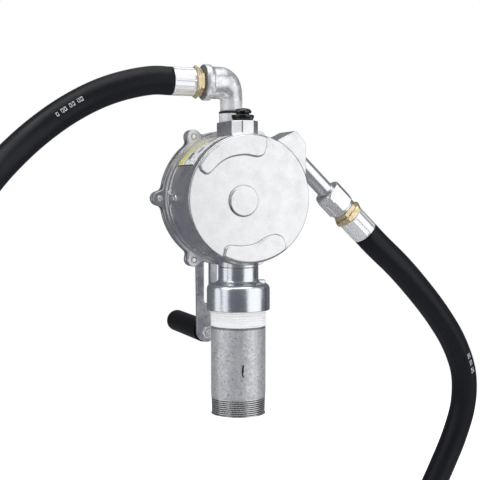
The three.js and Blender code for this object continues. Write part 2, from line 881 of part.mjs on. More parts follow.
/** A street elbow: a wide arm along -X, turning down into a narrower leg. */
function elbowBody() {
  const corner = new THREE.Vector3(-ELBOW_LEG_R - 1.6, 0, ELBOW_Z - ELBOW_ARM_R - 1.2);
  const rings = [];
  const steps = 7;
  for (let step = 0; step <= steps; step++) {
    const t = step / steps;
    const turn = (Math.PI / 2) * t; // 0 at the leg, a quarter turn at the arm
    const inner = 1.6 + (1.2 - 1.6) * t;
    const ease = Math.sin(turn) ** 2;
    const outer = inner + 2 * (ELBOW_LEG_R + (ELBOW_ARM_R - ELBOW_LEG_R) * ease);
    const width = ELBOW_LEG_R + (ELBOW_ARM_R - ELBOW_LEG_R) * ease;
    const radial = new THREE.Vector3(Math.cos(turn), 0, Math.sin(turn));
    rings.push({
      centre: corner.clone().addScaledVector(radial, (inner + outer) / 2),
      a: radial.clone().multiplyScalar((outer - inner) / 2),
      b: new THREE.Vector3(0, width, 0),
    });
  }
  const round = (x, z, radius, across) => ({
    centre: new THREE.Vector3(x, 0, z),
    a: across.clone().multiplyScalar(radius),
    b: new THREE.Vector3(0, radius, 0),
  });
  const leg = round(0, ELBOW_LOW, ELBOW_LEG_R, new THREE.Vector3(1, 0, 0));
  const arm = [
    [ELBOW_END - 10.4, ELBOW_ARM_R],
    [ELBOW_END - 8.2, BAND_R - 0.5],
    [ELBOW_END - 5.4, BAND_R],
    [ELBOW_END - 3.2, BAND_R],
    [ELBOW_END - 0.8, BAND_R - 1.6],
    [ELBOW_END, BAND_R - 3.2],
  ].map(([station, radius]) => round(-station, ELBOW_Z, radius, new THREE.Vector3(0, 0, 1)));
  return loft([leg, ...rings, ...arm], 24);
}

const alongArm = (manifold) => manifold.rotate([0, -90, 0]).translate([0, 0, ELBOW_Z]);

place(
  outlet,
  "elbow",
  GALVANISED(),
  cut(
    elbowBody(),
    alongArm(latheZ(rod(22, ELBOW_END + 1, SOCKET_R), 20)),
    alongArm(latheZ(rod(0, 24, 9), 16)),
    latheZ(rod(ELBOW_LOW - 1, ELBOW_Z, 8), 16),
  ),
);

const NIPPLE_START = ELBOW_END + GAP;
const FLANGE_START = NIPPLE_START + ARM_HEX;
const FLANGE_END = FLANGE_START + ARM_FLANGE;

/** Brass hose tail: threaded end, hexagon, wide hexagonal flange and the barbed tube inside the ferrule. */
const hoseTail = (threadLow, hexLow, flangeLow, flangeHigh, ferruleEnd) =>
  cut(
    join(
      latheZ(rod(threadLow, hexLow + 1, FITTING_THREAD_R), 20),
      hexZ(hexLow, flangeLow + 0.5, FITTING_HEX_R, 1.2),
      hexZ(flangeLow, flangeHigh, FITTING_FLANGE_R, 2),
      latheZ(rod(flangeHigh - 1, ferruleEnd - TAIL_SHORT, TAIL_R), 16),
    ),
    latheZ(rod(threadLow - 1, ferruleEnd - TAIL_SHORT + 1, TAIL_BORE_R), 16),
  );

/** Crimped sleeve with flats pressed along it. */
const ferrule = (low, high) =>
  cut(
    latheZ(
      [
        [0, low],
        [FERRULE_R - 0.8, low],
        [FERRULE_R, low + 0.8],
        [FERRULE_R, high - 0.6],
        [FERRULE_R - 0.6, high],
        [0, high],
      ],
      8,
    )
      .rotate([0, 0, 22.5])
      .intersect(latheZ(rod(low - 1, high + 1, FERRULE_R - 0.25), 32)),
    latheZ(rod(low - 1, high + 1, FERRULE_BORE_R), 20),
  );

place(
  outlet,
  "elbow_hose_fitting",
  BRASS(),
  alongArm(hoseTail(24, NIPPLE_START, FLANGE_START, FLANGE_END, FERRULE_END)),
);
place(outlet, "elbow_ferrule", POLISHED(), alongArm(ferrule(FLANGE_END + GAP, FERRULE_END)));

// ---- nozzle, on its own tilted frame ------------------------------------------------------------------

const nozzle = group(MOUTH_X, NOZZLE_Y, AXIS_Z + MOUTH_Z);
nozzle.rotation.y = NOZZLE_TILT;
const BODY_END = NOZZLE_BODY + NOZZLE_HEX;
const NOZZLE_FLANGE = BODY_END + 5.5;
const NOZZLE_FERRULE = NOZZLE_FLANGE + 6.8;
const NOZZLE_FERRULE_END = NOZZLE_FERRULE + 27;

place(
  nozzle,
  "nozzle_spout",
  POLISHED(),
  latheZ(
    [
      [SPOUT_BORE_R, SPOUT_TIP],
      [SPOUT_R - 0.8, SPOUT_TIP],
      [SPOUT_R, SPOUT_TIP + 1.2],
      [SPOUT_R, NOZZLE_BODY + SPOUT_SEATED],
      [SPOUT_BORE_R, NOZZLE_BODY + SPOUT_SEATED],
    ],
    28,
  ),
);
place(
  nozzle,
  "nozzle_body",
  POLISHED(),
  cut(
    hexZ(NOZZLE_BODY, BODY_END, NOZZLE_HEX_R, 3.4),
    latheZ(rod(NOZZLE_BODY - 1, NOZZLE_BODY + SPOUT_SEATED + GAP, SPOUT_R + GAP), 28),
    latheZ(rod(NOZZLE_BODY + 5, BODY_END - 10, SPOUT_BORE_R), 20),
    latheZ(rod(BODY_END - 12, BODY_END + 1, SOCKET_R), 24),
  ),
);
place(
  nozzle,
  "nozzle_hose_fitting",
  BRASS(),
  hoseTail(BODY_END - 11, BODY_END + GAP, NOZZLE_FLANGE, NOZZLE_FERRULE - GAP, NOZZLE_FERRULE_END),
);
place(nozzle, "nozzle_ferrule", POLISHED(), ferrule(NOZZLE_FERRULE, NOZZLE_FERRULE_END));

// ---- hose, a plain tube in two halves ------------------------------------------------------------------

const hoseCurve = new THREE.CatmullRomCurve3(
  HOSE_ROUTE.map(([x, y, z]) => new THREE.Vector3(x, y, z)),
  false,
  "centripetal",
);
const hoseSection = new THREE.Shape().absarc(0, 0, HOSE_R, 0, 2 * Math.PI, false);
const hoseTube = solid(
  new THREE.ExtrudeGeometry(hoseSection, {
    extrudePath: hoseCurve,
    steps: 30,
    curveSegments: HOSE_SIDES / 2,
    bevelEnabled: false,
  }),
);
/** The part of the hose between two stations along X. */
const hosePart = (from, to) => hoseTube.intersect(block(from, to, -REACH, REACH, -REACH, REACH));
place(pump, "hose_pump_half", BLACK_RUBBER(), hosePart(-REACH, HOSE_SPLIT_X - GAP / 2));
place(pump, "hose_nozzle_half", BLACK_RUBBER(), hosePart(HOSE_SPLIT_X + GAP / 2, REACH));

export default pump;
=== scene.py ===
import math

import bpy
import numpy as np
from mathutils import Matrix, Vector


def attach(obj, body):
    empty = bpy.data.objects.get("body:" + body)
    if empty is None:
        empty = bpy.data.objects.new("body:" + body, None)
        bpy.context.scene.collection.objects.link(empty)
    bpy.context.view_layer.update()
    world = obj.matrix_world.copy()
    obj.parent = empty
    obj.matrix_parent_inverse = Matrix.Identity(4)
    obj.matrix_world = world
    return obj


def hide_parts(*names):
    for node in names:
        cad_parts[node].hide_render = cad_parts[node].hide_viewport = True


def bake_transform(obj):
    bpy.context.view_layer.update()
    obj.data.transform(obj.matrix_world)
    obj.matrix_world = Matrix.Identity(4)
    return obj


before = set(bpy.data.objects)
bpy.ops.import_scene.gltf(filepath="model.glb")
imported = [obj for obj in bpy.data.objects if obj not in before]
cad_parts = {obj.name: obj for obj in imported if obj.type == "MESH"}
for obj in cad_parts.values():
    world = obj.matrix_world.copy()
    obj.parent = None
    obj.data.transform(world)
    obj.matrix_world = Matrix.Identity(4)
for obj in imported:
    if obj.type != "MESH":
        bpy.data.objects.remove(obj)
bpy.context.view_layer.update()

MM = 0.001

# ---- camera ------------------------------------------------------------------

CAMERA_DISTANCE = 1.1  # to the pipe's axis
CAMERA_AZIMUTH = math.radians(-21.9)  # to the left of straight ahead
CAMERA_HEIGHT = 0.247
CAMERA_PITCH = math.radians(2.9)  # downwards
CAMERA_TURN = math.radians(0.1)  # a touch to the right of the pipe's axis


def place_camera():
    camera = bpy.data.objects.new("camera", bpy.data.cameras.new("camera"))
    bpy.context.scene.collection.objects.link(camera)
    camera.data.lens = 75
    camera.data.sensor_width = 36
    camera.data.clip_start = 0.05
    camera.location = (
        CAMERA_DISTANCE * math.sin(CAMERA_AZIMUTH),
        -CAMERA_DISTANCE * math.cos(CAMERA_AZIMUTH),
        CAMERA_HEIGHT,
    )
    heading = CAMERA_AZIMUTH - CAMERA_TURN
    camera.rotation_euler = (math.pi / 2 - CAMERA_PITCH, 0, heading)
    bpy.context.scene.camera = camera


place_camera()

# ---- mesh helpers ------------------------------------------------------------


def mesh_object(name, points, quads, triangles=()):
    """A mesh from points in millimetres in the row frame, with smooth faces."""
    mesh = bpy.data.meshes.new(name)
    quads = np.asarray(quads, np.int32).reshape(-1, 4)
    triangles = np.asarray(triangles, np.int32).reshape(-1, 3)
    corners = np.concatenate([quads.ravel(), triangles.ravel()])
    starts = np.concatenate(
        [
            np.arange(len(quads)) * 4,
            len(quads) * 4 + np.arange(len(triangles)) * 3,
        ]
    )
    mesh.vertices.add(len(points))
    mesh.vertices.foreach_set("co", (np.asarray(points) * MM).astype(np.float32).ravel())
    mesh.loops.add(len(corners))
    mesh.loops.foreach_set("vertex_index", corners.astype(np.int32))
    mesh.polygons.add(len(starts))
    mesh.polygons.foreach_set("loop_start", starts.astype(np.int32))
    mesh.update(calc_edges=True)
    mesh.validate()
    mesh.shade_smooth()
    made = bpy.data.objects.new(name, mesh)
    bpy.context.scene.collection.objects.link(made)
    return made


def spread(points, matrix):
    """Points in a local frame in millimetres, moved into the row frame."""
    m = np.array(matrix)
    return points @ m[:3, :3].T + m[:3, 3]


def stations(*spans):
    """Grid lines: each span is (from, to, step), and the spans follow on."""
    lines = [
        np.linspace(a, b, max(2, round((b - a) / step) + 1)) for a, b, step in spans
    ]
    return np.unique(np.round(np.concatenate(lines), 5))


def smin(a, b, k):
    """The union of two distance fields with a fillet of about k."""
    h = np.maximum(k - np.abs(a - b), 0)
    return np.minimum(a, b) - h * h / (4 * k)


def smax(a, b, k):
    """The intersection of two distance fields with an edge rounded by about k."""
    h = np.maximum(k - np.abs(a - b), 0)
    return np.maximum(a, b) + h * h / (4 * k)


def plate(outline, across, low, high, edge=1.0):
    """A flat outline given thickness between two stations, with rounded edges."""
    return smax(outline, np.abs(across - (low + high) / 2) - (high - low) / 2, edge)


def polygon(u, v, points):
    """Signed distance to a closed polygon."""
    points = np.asarray(points, float)
    distance = np.full(np.broadcast(u, v).shape, 1e12)
    sign = np.ones_like(distance)
    for (x1, y1), (x0, y0) in zip(points, np.roll(points, 1, 0)):
        ex, ey = x0 - x1, y0 - y1
        wx, wy = u - x1, v - y1
        along = np.clip((wx * ex + wy * ey) / (ex * ex + ey * ey), 0, 1)
        distance = np.minimum(distance, (wx - ex * along) ** 2 + (wy - ey * along) ** 2)
        above = v >= y1
        below = v < y0
        left = ex * wy > ey * wx
        flip = (above & below & left) | (~above & ~below & ~left)
        sign = np.where(flip, -sign, sign)
    return sign * np.sqrt(distance)


def spline(points, steps=6):
    """A smooth open line through points in a plane."""
    p = np.asarray(points, float)
    p = np.vstack([2 * p[0] - p[1], p, 2 * p[-1] - p[-2]])
    out = []
    for a, b, c, d in zip(p, p[1:], p[2:], p[3:]):
        for t in np.arange(steps) / steps:
            out.append(
                0.5
                * (
                    2 * b
                    + (c - a) * t
                    + (2 * a - 5 * b + 4 * c - d) * t**2
                    + (3 * b - a - 3 * c + d) * t**3
                )
            )
    out.append(p[-2])
    return np.array(out)


def arc(centre, radius, start, end, steps=12):
    """Points along an arc, angles in degrees."""
    t = np.radians(np.linspace(start, end, steps + 1))
    return np.stack([centre[0] + radius * np.cos(t), centre[1] + radius * np.sin(t)], 1)


def ring_tube(name, rings, reverse=False):
    """A closed tube through rings of points, capped at both ends; reverse turns its faces over."""
    count, sides = rings.shape[:2]
    index = np.arange(count * sides).reshape(count, sides)
    low, high = index[:-1], index[1:]
    quads = np.stack([low, high, np.roll(high, -1, 1), np.roll(low, -1, 1)], 2).reshape(-1, 4)
    first, last = index[0], index[-1]
    start, end = np.full(sides, index.size), np.full(sides, index.size + 1)
    caps = np.concatenate(
        [
            np.stack([start, first, np.roll(first, -1)], 1),
            np.stack([end, np.roll(last, -1), last], 1),
        ]
    )
    if reverse:
        quads, caps = (np.roll(faces[:, ::-1], 1, 1) for faces in (quads, caps))
    points = np.vstack([rings.reshape(-1, 3), rings[:1].mean(1), rings[-1:].mean(1)])
    return mesh_object(name, points, quads, caps)


CELL_EDGES = [
    (a, b)
    for a in np.ndindex(2, 2, 2)
    for b in np.ndindex(2, 2, 2)
    if sum(np.abs(np.subtract(a, b))) == 1 and a < b
]


def gradient(field, points, reach=0.12):
    """The unit outward normal of a distance field at points, and the field's value there."""
    x, y, z = points.T
    slope = np.stack(
        [
            field(x + reach, y, z) - field(x - reach, y, z),
            field(x, y + reach, z) - field(x, y - reach, z),
            field(x, y, z + reach) - field(x, y, z - reach),
        ],
        1,
    )
    slope /= np.maximum(np.linalg.norm(slope, axis=1), 1e-9)[:, None]
    return slope, field(x, y, z)


def net_points(f, lines):
    """Surface nets: the cells that the zero surface crosses, and a point in each."""
    inside = f < 0
    shape = np.array(f.shape)
    filled = np.zeros(shape - 1, np.uint8)
    for i, j, k in np.ndindex(2, 2, 2):
        filled += inside[i : shape[0] - 1 + i, j : shape[1] - 1 + j, k : shape[2] - 1 + k]
    cells = np.argwhere((filled > 0) & (filled < 8))
    total = np.zeros((len(cells), 3))
    count = np.zeros(len(cells))
    for a, b in CELL_EDGES:
        ca, cb = cells + a, cells + b
        fa, fb = f[tuple(ca.T)], f[tuple(cb.T)]
        cross = (fa < 0) != (fb < 0)
        t = np.where(cross, fa / np.where(cross, fa - fb, 1), 0)[:, None]
        pa = np.stack([line[c] for line, c in zip(lines, ca.T)], 1)
        pb = np.stack([line[c] for line, c in zip(lines, cb.T)], 1)
        total += np.where(cross[:, None], pa + (pb - pa) * t, 0)
        count += cross
    return cells, total / count[:, None]


def net_quads(f, cells):
    """Surface nets: one quad for each grid edge that the zero surface crosses, facing outwards."""
    inside = f < 0
    shape = np.array(f.shape)
    index = np.full(shape - 1, -1, np.int64)
    index[tuple(cells.T)] = np.arange(len(cells))
    quads = []
    for axis in range(3):
        low = [slice(None)] * 3
        high = [slice(None)] * 3
        low[axis], high[axis] = slice(0, -1), slice(1, None)
        at = np.argwhere(inside[tuple(low)] != inside[tuple(high)])
        u, v = (axis + 1) % 3, (axis + 2) % 3
        keep = (at[:, u] > 0) & (at[:, v] > 0)
        keep &= (at[:, u] < shape[u] - 1) & (at[:, v] < shape[v] - 1)
        at = at[keep]
        ring = []
        for du, dv in ((1, 1), (0, 1), (0, 0), (1, 0)):
            cell = at.copy()
            cell[:, u] -= du
            cell[:, v] -= dv
            ring.append(index[tuple(cell.T)])
        ring = np.stack(ring, 1)
        inward = ~inside[tuple(at.T)]
        ring[inward] = ring[inward][:, ::-1]
        quads.append(ring)
    return np.concatenate(quads)


def surface(name, field, xs, ys, zs, matrix=None):
    """A closed quad mesh of the zero surface of a distance field in millimetres, on a grid."""
    x, y, z = np.meshgrid(xs, ys, zs, indexing="ij", sparse=True)
    f = np.broadcast_to(field(x, y, z), (len(xs), len(ys), len(zs)))
    cells, points = net_points(f, (xs, ys, zs))
    quads = net_quads(f, cells)
    furthest = 0.5 * min(np.diff(xs).min(), np.diff(ys).min(), np.diff(zs).min())
    for _ in range(2):
        normals, value = gradient(field, points)
        points = points - normals * np.clip(value, -furthest, furthest)[:, None]
    normals, value = gradient(field, points)
    if matrix is not None:
        points = spread(points, matrix)
        normals = normals @ np.array(matrix)[:3, :3].T
    made = mesh_object(name, points, quads)
    made.data.normals_split_custom_set_from_vertices(normals.tolist())
    return made


def rounded(profile, radius, closed, steps=3):
    """A profile with each corner turned into an arc, and the normal at each point."""
    p = [np.array(q[:2], float) for q in profile]
    radii = [q[2] if len(q) > 2 else radius for q in profile]
    n = len(p)
    points, normals = [], []
    for i in range(n):
        before, here, after = p[i - 1], p[i], p[(i + 1) % n]
        if not closed and i in (0, n - 1):
            edge = (after - here) if i == 0 else (here - before)
            edge = edge / np.linalg.norm(edge)
            points.append(here)
            normals.append((edge[1], -edge[0]))
            continue
        a, b = before - here, after - here
        la, lb = np.linalg.norm(a), np.linalg.norm(b)
        a, b = a / la, b / lb
        half = math.acos(max(-1, min(1, a @ b))) / 2
        if half > math.radians(87):
            edge = (b - a) / np.linalg.norm(b - a)
            points.append(here)
            normals.append((edge[1], -edge[0]))
            continue
        reach = min(radii[i] / math.tan(half), 0.45 * la, 0.45 * lb)
        r = reach * math.tan(half)
        centre = here + (a + b) / np.linalg.norm(a + b) * (r / math.sin(half))
        start, end = here + a * reach - centre, here + b * reach - centre
        turn = math.atan2(start[0] * end[1] - start[1] * end[0], start @ end)
        for t in np.linspace(0, 1, steps + 1):
            c, s = math.cos(turn * t), math.sin(turn * t)
            spoke = np.array([c * start[0] - s * start[1], s * start[0] + c * start[1]])
            points.append(centre + spoke)
            out = spoke / max(np.linalg.norm(spoke), 1e-9)
            normals.append(tuple(out if turn > 0 else -out))
    return np.array(points), np.array(normals)


def lathe(name, profile, matrix, sides=96, edge=0.4, closed=True, wobble=None):
    """A body of revolution about local Z.

    The profile is (radius, z) points, going round with the outside on the right.
    """
    points, normals = rounded(profile, edge, closed)
    turns = 2 * math.pi * np.arange(sides) / sides
    r, s = points[:, 0][:, None], points[:, 1][:, None]
    if wobble is not None:
        r = r + wobble(turns[None, :], s) * (normals[:, 0][:, None] > 0.5)
    else:
        r = np.repeat(r, sides, 1)
    ring = np.stack([r * np.cos(turns), r * np.sin(turns), np.repeat(s, sides, 1)], 2)
    rows = len(points)
    local = ring.reshape(-1, 3)
    index = np.arange(rows * sides).reshape(rows, sides)
    upper = np.roll(index, -1, 0) if closed else index[1:]
    lower = index if closed else index[:-1]
    quads = np.stack(
        [lower, np.roll(lower, -1, 1), np.roll(upper, -1, 1), upper], 2
    ).reshape(-1, 4)
    triangles = []
    if not closed:
        poles = [0, rows - 1]
        keep = np.ones(rows, bool)
        keep[poles] = False
        first, last = len(local), len(local) + 1
        local = np.vstack([local, [[0, 0, points[0, 1]], [0, 0, points[-1, 1]]]])
        quads = quads[sides:-sides]
        low, high = index[1], index[-2]
        triangles = np.concatenate(
            [
                np.stack([np.full(sides, first), np.roll(low, -1), low], 1),
                np.stack([np.full(sides, last), high, np.roll(high, -1)], 1),
            ]
        )
    made = mesh_object(name, spread(local, matrix), quads, triangles)
    if wobble is None:
        flat = np.stack(
            [
                normals[:, 0][:, None] * np.cos(turns),
                normals[:, 0][:, None] * np.sin(turns),
                np.repeat(normals[:, 1][:, None], sides, 1),
            ],
            2,
        ).reshape(-1, 3)
        if not closed:
            flat = np.vstack([flat, [[0, 0, -1], [0, 0, 1]]])
        turned = flat @ np.array(matrix)[:3, :3].T
        made.data.normals_split_custom_set_from_vertices(turned.tolist())
    return made


# ---- dimensions, in millimetres, as in the CAD -------------------------------

GAP = 0.3
AXIS_Z = 237
HEAD_R = 69.6
FACE_Y = -35
FLANGE_Y, FLANGE_T, FLANGE_R = 34, 6, 76
RIDGE_R, RIDGE_T = 72.4, 3.2
EAR_PITCH_R, EAR_R = 79.3, 7.9
TAB_LENGTH, TAB_HALF, TAB_RAISE = 25, 4.6, 1.4
PAD_RAISE = 2.5
SHAFT_BOSS_R = 16.5
CHAMBER_R, CHAMBER_Y = 54, -27
COVER_Y, COVER_BACK = 41.2, 48.2
GLAND_Y = COVER_BACK + 10
SCREW_R = 2.9
SHAFT_X, SHAFT_DZ, SHAFT_R = -8, -2.3, 8
BUSH_R = 11
ARM_Y, ARM_T, ARM_W = 78, 6, 24
THROW = 155
SQUARE = 12
STUD_R, CRANK_NUT_R = 5, 9.5
SLOT_R, SLOT_FROM, SLOT_SHORT = 3.5, 42, 37
GRIP_R, GRIP_LENGTH, GRIP_DOME = 13.3, 107, 5
GRIP_BOLT_R, GRIP_NUT_R, GRIP_WASHER_R = 4, 7.6, 9
GRIP_START = ARM_Y + ARM_T + 4
GRIP_END = GRIP_START + GRIP_LENGTH
PIPE_R, PIPE_BORE_R, PIPE_TOP = 30.15, 26.25, 131
THREAD_TOP, THREAD_PITCH, THREAD_DEPTH = 20.7, 2.21, 1.1
THREAD_ROOT = 0.9  # how far the thread's crest lies inside the pipe's radius at the lower end
TAPER = 1 / 32  # of a pipe thread's radius
TAPE_LOW = 97
COLLAR_LOW, COLLAR_R, SHOULDER = 114.7, 34.8, 144
NECK_R, NECK_TOP = 22.2, 161.7
INLET_R, VALVE_R, SEAT_R = 13, 16.5, 11.5
VALVE_SEAT, VALVE_ROOF, PIPE_SEAT = 137, 149, 134
BOSS_TOP = 321
OUTLET_Y, OUTLET_R = 21, 9.5
BREAKER_Y, BREAKER_R = -13, 5
SPIGOT_R, SPIGOT_SHANK_R, SPIGOT_BORE_R = 13.7, 9.2, 7.5
SPIGOT_TOP = BOSS_TOP + 10
ELBOW_LOW = SPIGOT_TOP + 2.5
ELBOW_Z, ELBOW_LEG_R, ELBOW_ARM_R, ELBOW_END = 364.5, 12.4, 17.75, 34.6
ELBOW_SIDES = 80
HOSE_RADIUS = 15.5
FERRULE_R, FERRULE_BORE_R = 15.8, 9.4
FITTING_HEX_R, FITTING_FLANGE_R, FITTING_THREAD_R = 15.6, 18.4, 13.3
TAIL_R, TAIL_BORE_R = 9, 7
CRIMPS = 16
ARM_HEX_START = ELBOW_END + GAP
ARM_FLANGE_START = ARM_HEX_START + 4.8
ARM_FERRULE = ARM_FLANGE_START + 5 + GAP
FERRULE_END = 70
MOUTH_X, MOUTH_Z, NOZZLE_Y = 66, 41.5, -13  # where the nozzle goes into its boot
NOZZLE_TILT = math.radians(133.5)
SPOUT_R, SPOUT_BORE_R, SPOUT_TIP, SPOUT_SEATED = 9.5, 7.6, -17, 9
NOZZLE_BODY, BODY_END, NOZZLE_HEX_R = 49, 78, 17.6
SOCKET_R = 13.6
NOZZLE_TURN = math.radians(-2.7)  # of the hexagon about its axis
NOZZLE_FLANGE, NOZZLE_FERRULE, NOZZLE_FERRULE_END = 83.5, 90.3, 117.3


def at(x, y, z):
    return Matrix.Translation((x, y, z))


ROW = at(0, 0, 0)
ALONG_Y = Matrix.Rotation(math.radians(-90), 4, "X")  # local Z runs along +Y
SHAFT = at(SHAFT_X, 0, AXIS_Z + SHAFT_DZ)
GRIP = at(SHAFT_X, 0, AXIS_Z + SHAFT_DZ - THROW)
ARM_LINE = at(0, OUTLET_Y, ELBOW_Z) @ Matrix.Rotation(math.radians(-90), 4, "Y")
NOZZLE_LINE = at(MOUTH_X, NOZZLE_Y, AXIS_Z + MOUTH_Z) @ Matrix.Rotation(NOZZLE_TILT, 4, "Y")

# ---- hose --------------------------------------------------------------------

HOSE_SIDES = 56
HOSE_STEP = 3.2  # between rings
PRINT_SIDE = np.array([0.13, -0.93, 0.32])  # the side that the row of marks is on
HOSE_ROUTE = [
    (-70.3, 21, 364.5), (-90, 21, 364.5), (-118, 22, 359.1), (-148, 23.5, 348.8), (-181, 24, 331.3),
    (-215, 22, 306.9), (-248, 11.5, 277.5), (-274, -4, 249.5), (-300, -20, 212), (-321, -34, 168),
    (-335, -44, 116), (-341, -49, 60), (-338, -51, -1), (-324, -50, -60), (-300, -46, -116),
    (-267, -41, -167), (-226, -34, -214), (-177, -26, -254), (-122, -17, -284), (-64, -7, -303),
    (-4, 3, -309), (54, 14, -305), (110, 24, -291), (162, 33, -266), (208, 40, -233),
    (244, 44, -193), (273, 46, -148), (296, 45, -104), (312.5, 41, -63), (320, 34.5, -23),
    (315, 27, 17), (294, 17, 57), (263.5, 6.5, 94), (229.5, -3, 128), (196, -10, 158.5),
    (165.8, -13, 183.8), (151.3, -13, 197.55),
]  # millimetres, from the elbow's ferrule to the nozzle's


def catmull_rom(points, step):
    """A smooth curve through points, resampled at about equal steps, and the distance along it.

    It is the centripetal Catmull-Rom curve, which makes no loops at short spans.
    """
    p = np.asarray(points, float)
    p = np.vstack([2 * p[0] - p[1], p, 2 * p[-1] - p[-2]])
    fine = []
    for a, b, c, d in zip(p, p[1:], p[2:], p[3:]):
        t1 = math.sqrt(np.linalg.norm(b - a))
        t2 = t1 + math.sqrt(np.linalg.norm(c - b))
        t3 = t2 + math.sqrt(np.linalg.norm(d - c))
        for t in np.linspace(t1, t2, 24, endpoint=False):
            ab = a + (b - a) * t / t1
            bc = b + (c - b) * (t - t1) / (t2 - t1)
            cd = c + (d - c) * (t - t2) / (t3 - t2)
            abc = ab + (bc - ab) * t / t2
            bcd = bc + (cd - bc) * (t - t1) / (t3 - t1)
            fine.append(abc + (bcd - abc) * (t - t1) / (t2 - t1))
    fine.append(p[-2])
    fine = np.array(fine)
    along = np.concatenate([[0], np.cumsum(np.linalg.norm(np.diff(fine, axis=0), axis=1))])
    even = np.linspace(0, along[-1], round(along[-1] / step) + 1)
    return np.stack([np.interp(even, along, fine[:, i]) for i in range(3)], 1), even


def along_curve(centres):
    """Unit vectors across a curve that don't twist along it."""
    tangents = np.gradient(centres, axis=0)
    tangents /= np.linalg.norm(tangents, axis=1)[:, None]
    side = np.cross(tangents[0], (0, 0, 1.0))
    sides = []
    for tangent in tangents:
        side = side - tangent * (side @ tangent)
        side = side / np.linalg.norm(side)
        sides.append(side)
    sides = np.array(sides)
    return sides, np.cross(sides, tangents)


def make_hose():
    centres, along = catmull_rom(HOSE_ROUTE, HOSE_STEP)
    sides, ups = along_curve(centres)
    turns = 2 * math.pi * np.arange(HOSE_SIDES) / HOSE_SIDES
    spokes = (
        sides[:, None] * np.cos(turns)[None, :, None]
        + ups[:, None] * np.sin(turns)[None, :, None]
    )
    hose = ring_tube("hose", centres[:, None] + HOSE_RADIUS * spokes)
    length = along[-1]
    save_attribute(hose, "along", np.concatenate([np.repeat(along, HOSE_SIDES), [0, length]]))
    facing = np.arctan2(ups @ PRINT_SIDE, sides @ PRINT_SIDE)[:, None]
    off_print = turns[None, :] - facing
    save_attribute(hose, "side", np.append(HOSE_RADIUS * np.sin(off_print), [0, 0]))
    save_attribute(hose, "front", np.append(np.cos(off_print), [0, 0]))
    step = 2 * math.pi / HOSE_SIDES
    ring_turns = (turns[:, None] + np.array([0, 0, step, step])).ravel()
    corner_turns = np.tile(ring_turns, len(centres) - 1)
    cap_corners = np.zeros(2 * 3 * HOSE_SIDES)
    save_attribute(hose, "turn", np.append(corner_turns, cap_corners), "CORNER")
    hose.data.materials.append(LOOKS["hose_rubber"])
    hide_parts("hose_pump_half", "hose_nozzle_half")
    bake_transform(hose)


def save_attribute(piece, name, values, domain="POINT"):
    layer = piece.data.attributes.new(name, "FLOAT", domain)
    layer.data.foreach_set("value", np.asarray(values, np.float32))


# ---- materials ---------------------------------------------------------------


